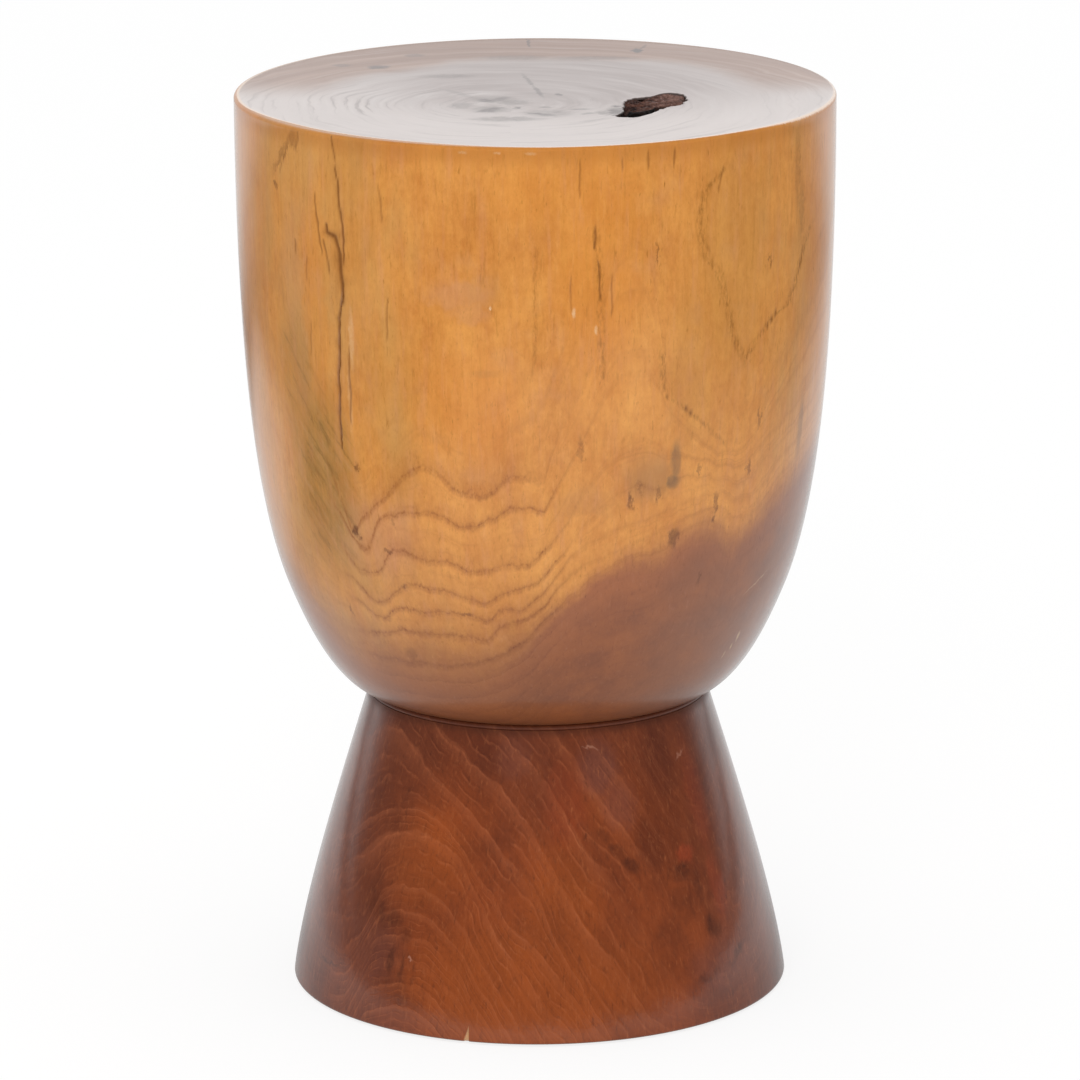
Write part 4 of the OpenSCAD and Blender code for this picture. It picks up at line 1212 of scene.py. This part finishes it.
def felt_material():
    """Grey felt."""
    s = Surface("felt")
    wool = s.noise((0.7, 0.7, 0.25), 4.0, 0.7, 120.0)
    clump = s.noise(3.0, 2.0, 0.5, 123.0)
    colour = (wool * 0.4 + clump * 0.2 + 0.5).mix(paint("#57524c"), paint("#86817a"))
    return s.finish(colour, wool * 0.18 + clump * 0.08, 0.95, Sheen_Weight=0.3, Sheen_Roughness=0.6)


def steel_material():
    """Zinc plated steel, for the screw and the washer."""
    s = Surface("steel")
    brushed = s.noise((1.0, 1.0, 0.12), 3.0, 0.6, 130.0)
    stain = s.noise(5.0, 2.0, 0.5, 133.0)
    colour = (stain * 0.3 + 0.4).mix(paint("#b9bbbd"), paint("#9d9fa2"))
    return s.finish(colour, brushed * 0.01, stain * 0.06 + 0.34, Metallic=1.0)


def dress(obj, body, nodes, material):
    """Rides a piece on its body, for the CAD nodes it stands for and material."""
    obj.data.materials.append(material)
    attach(obj, body)
    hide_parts(*nodes)


# Studio

# Strengths of the world's plain light, of the dim room and the haze that gloss sees, and of the paper.
AMBIENT, GLOSS_DIM, HAZE, PAPER_GLOSS = 0.80, 0.07, 0.74, 0.8
# The floor: half its size and where the paper that gloss sees begins, in metres, and its glow and shade
# for the camera.
FLOOR_SIZE, PAPER_FRONT = 40.0, 1.0
FLOOR_GLOW, FLOOR_SHADE = 0.79, (0.25, 0.25, 0.25, 1)
# The lamp: place, size and power.
LAMP_AT, LAMP_SIZE, LAMP_POWER = (-0.5, -3.0, 1.8), 1.8, 30.0
LAMP_AIM = (0, 0, 0.25)
# The camera: place, lens and sensor in millimetres, shift, and tilt and roll in degrees.
CAMERA_AT, LENS, SENSOR, SHIFT_X = (0.0, -3.2621, 1.0680), 220.17, 36.0, 0.00246
CAMERA_TILT, CAMERA_ROLL = 75.5815, -0.291


def studio_value(tree):
    """What gloss sees round the stool: a white sweep behind it, and a dim room on the camera's side."""
    place = tree.nodes.new("ShaderNodeTexCoord")
    unit = tree.nodes.new("ShaderNodeVectorMath")
    unit.operation = "NORMALIZE"
    tree.links.new(place.outputs["Generated"], unit.inputs[0])
    split = tree.nodes.new("ShaderNodeSeparateXYZ")
    tree.links.new(unit.outputs[0], split.inputs[0])
    x, y, z = (Field(tree, s) for s in split.outputs)
    sweep = y.ramp(0.25, 0.95) * (1.0 - GLOSS_DIM) + GLOSS_DIM
    haze = (1.0 - abs(x).ramp(0.0, 0.12)) * (1.0 - z.ramp(0.170, 0.194)) * y.ramp(0.8, 0.9)
    return sweep * (1.0 - haze * HAZE)


def paper_value(tree):
    """What gloss sees of the floor: a roll of white paper that runs back from the stool, in a dim room, with
    a painted shadow near the stool.
    """
    place = tree.nodes.new("ShaderNodeTexCoord")
    split = tree.nodes.new("ShaderNodeSeparateXYZ")
    tree.links.new(place.outputs["Object"], split.inputs[0])
    x, y = Field(tree, split.outputs[0]), Field(tree, split.outputs[1])
    front = y.ramp(-PAPER_FRONT - 0.5, -PAPER_FRONT)
    back = y.ramp(1.0, 2.0).high(y.ramp(0.1, 0.5) * y.ramp(1.3, 0.9) * abs(x).ramp(1.2, 0.8))
    wide = (1.0 - x.ramp(-0.25, -0.8).high(x.ramp(0.6, 1.45))).high(back)
    # Painted shadow: the paper that gloss sees is dimmer close to the stool.
    near = (x * x + y * y).math("SQRT").ramp(0.1, 0.35) * 0.4 + 0.6
    return front * wide * near * (PAPER_GLOSS - GLOSS_DIM) + GLOSS_DIM


def ray_kinds(tree):
    """Whether a ray is one that shows the backdrop, and whether it is gloss."""
    path = tree.nodes.new("ShaderNodeLightPath")
    camera = Field(tree, path.outputs["Is Camera Ray"])
    gloss = Field(tree, path.outputs["Is Glossy Ray"])
    through = Field(tree, path.outputs["Is Transmission Ray"])
    return camera.high(through), gloss


def make_world():
    """A white backdrop for the camera, a plain soft light, and the studio that gloss sees."""
    world = bpy.data.worlds.new("studio")
    bpy.context.scene.world = world
    world.use_nodes = True
    tree = world.node_tree
    background = tree.nodes["Background"]
    seen, gloss = ray_kinds(tree)
    plain = (1.0 - seen - gloss).high(0.0)
    strength = seen + gloss * studio_value(tree) + plain * AMBIENT
    tree.links.new(strength.socket, background.inputs["Strength"])
    background.inputs["Color"].default_value = (1, 1, 1, 1)


def make_floor():
    """A white floor: it glows for the camera, keeps the stool's shadow, and is paper to gloss."""
    mesh = bpy.data.meshes.new("floor")
    corners = [(x * FLOOR_SIZE, y * FLOOR_SIZE, 0) for x, y in ((-1, -1), (1, -1), (1, 1), (-1, 1))]
    mesh.from_pydata(corners, [], [(0, 1, 2, 3)])
    floor = bpy.data.objects.new("floor", mesh)
    bpy.context.scene.collection.objects.link(floor)
    material = bpy.data.materials.new("floor_paper")
    material.use_nodes = True
    tree = material.node_tree
    tree.nodes.clear()
    seen, gloss = ray_kinds(tree)
    paper = tree.nodes.new("ShaderNodeBsdfDiffuse")
    shade = seen.mix(paint("#e8e8e8"), FLOOR_SHADE)
    shade = gloss.mix(shade, (0, 0, 0, 1))
    tree.links.new(shade.socket, paper.inputs["Color"])
    glow = tree.nodes.new("ShaderNodeEmission")
    strength = seen * FLOOR_GLOW + gloss * paper_value(tree)
    tree.links.new(strength.socket, glow.inputs["Strength"])
    both = tree.nodes.new("ShaderNodeAddShader")
    tree.links.new(paper.outputs[0], both.inputs[0])
    tree.links.new(glow.outputs[0], both.inputs[1])
    out = tree.nodes.new("ShaderNodeOutputMaterial")
    tree.links.new(both.outputs[0], out.inputs["Surface"])
    mesh.materials.append(material)


def make_lamp(name, place, size, power):
    """A soft square lamp that faces the stool and doesn't show in gloss."""
    data = bpy.data.lights.new(name, "AREA")
    data.size, data.energy = size, power
    lamp = bpy.data.objects.new(name, data)
    lamp.location = place
    lamp.visible_glossy = False
    lamp.rotation_euler = (Vector(LAMP_AIM) - Vector(place)).to_track_quat("-Z", "Y").to_euler()
    bpy.context.scene.collection.objects.link(lamp)


def make_camera():
    """The photograph's camera: lens, height, distance and tilt were worked out from the ellipses."""
    data = bpy.data.cameras.new("camera")
    data.sensor_width, data.lens, data.shift_x = SENSOR, LENS, SHIFT_X
    data.clip_start, data.clip_end = 0.1, 100.0
    camera = bpy.data.objects.new("camera", data)
    camera.location = CAMERA_AT
    tilt = Matrix.Rotation(math.radians(CAMERA_TILT), 3, "X")
    roll = Matrix.Rotation(math.radians(CAMERA_ROLL), 3, "Z")
    camera.rotation_euler = (tilt @ roll).to_euler()
    bpy.context.scene.collection.objects.link(camera)
    bpy.context.scene.camera = camera


make_camera()
make_world()
make_floor()
make_lamp("key", LAMP_AT, LAMP_SIZE, LAMP_POWER)
bpy.context.scene.view_settings.view_transform = "Standard"

dress(make_seat(), "root", ["seat_drum"], seat_material())
dress(make_foot(), "root", ["foot"], foot_material())
dress(make_knot(), "root", ["dead_knot"], bark_material())
felt = felt_material()
for number in range(1, 5):
    dress(make_felt(number), "root", [f"felt_pad_{number}"], felt)
steel = steel_material()
for node in ("coach_screw", "washer"):
    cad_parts[node].material_slots[0].material = steel
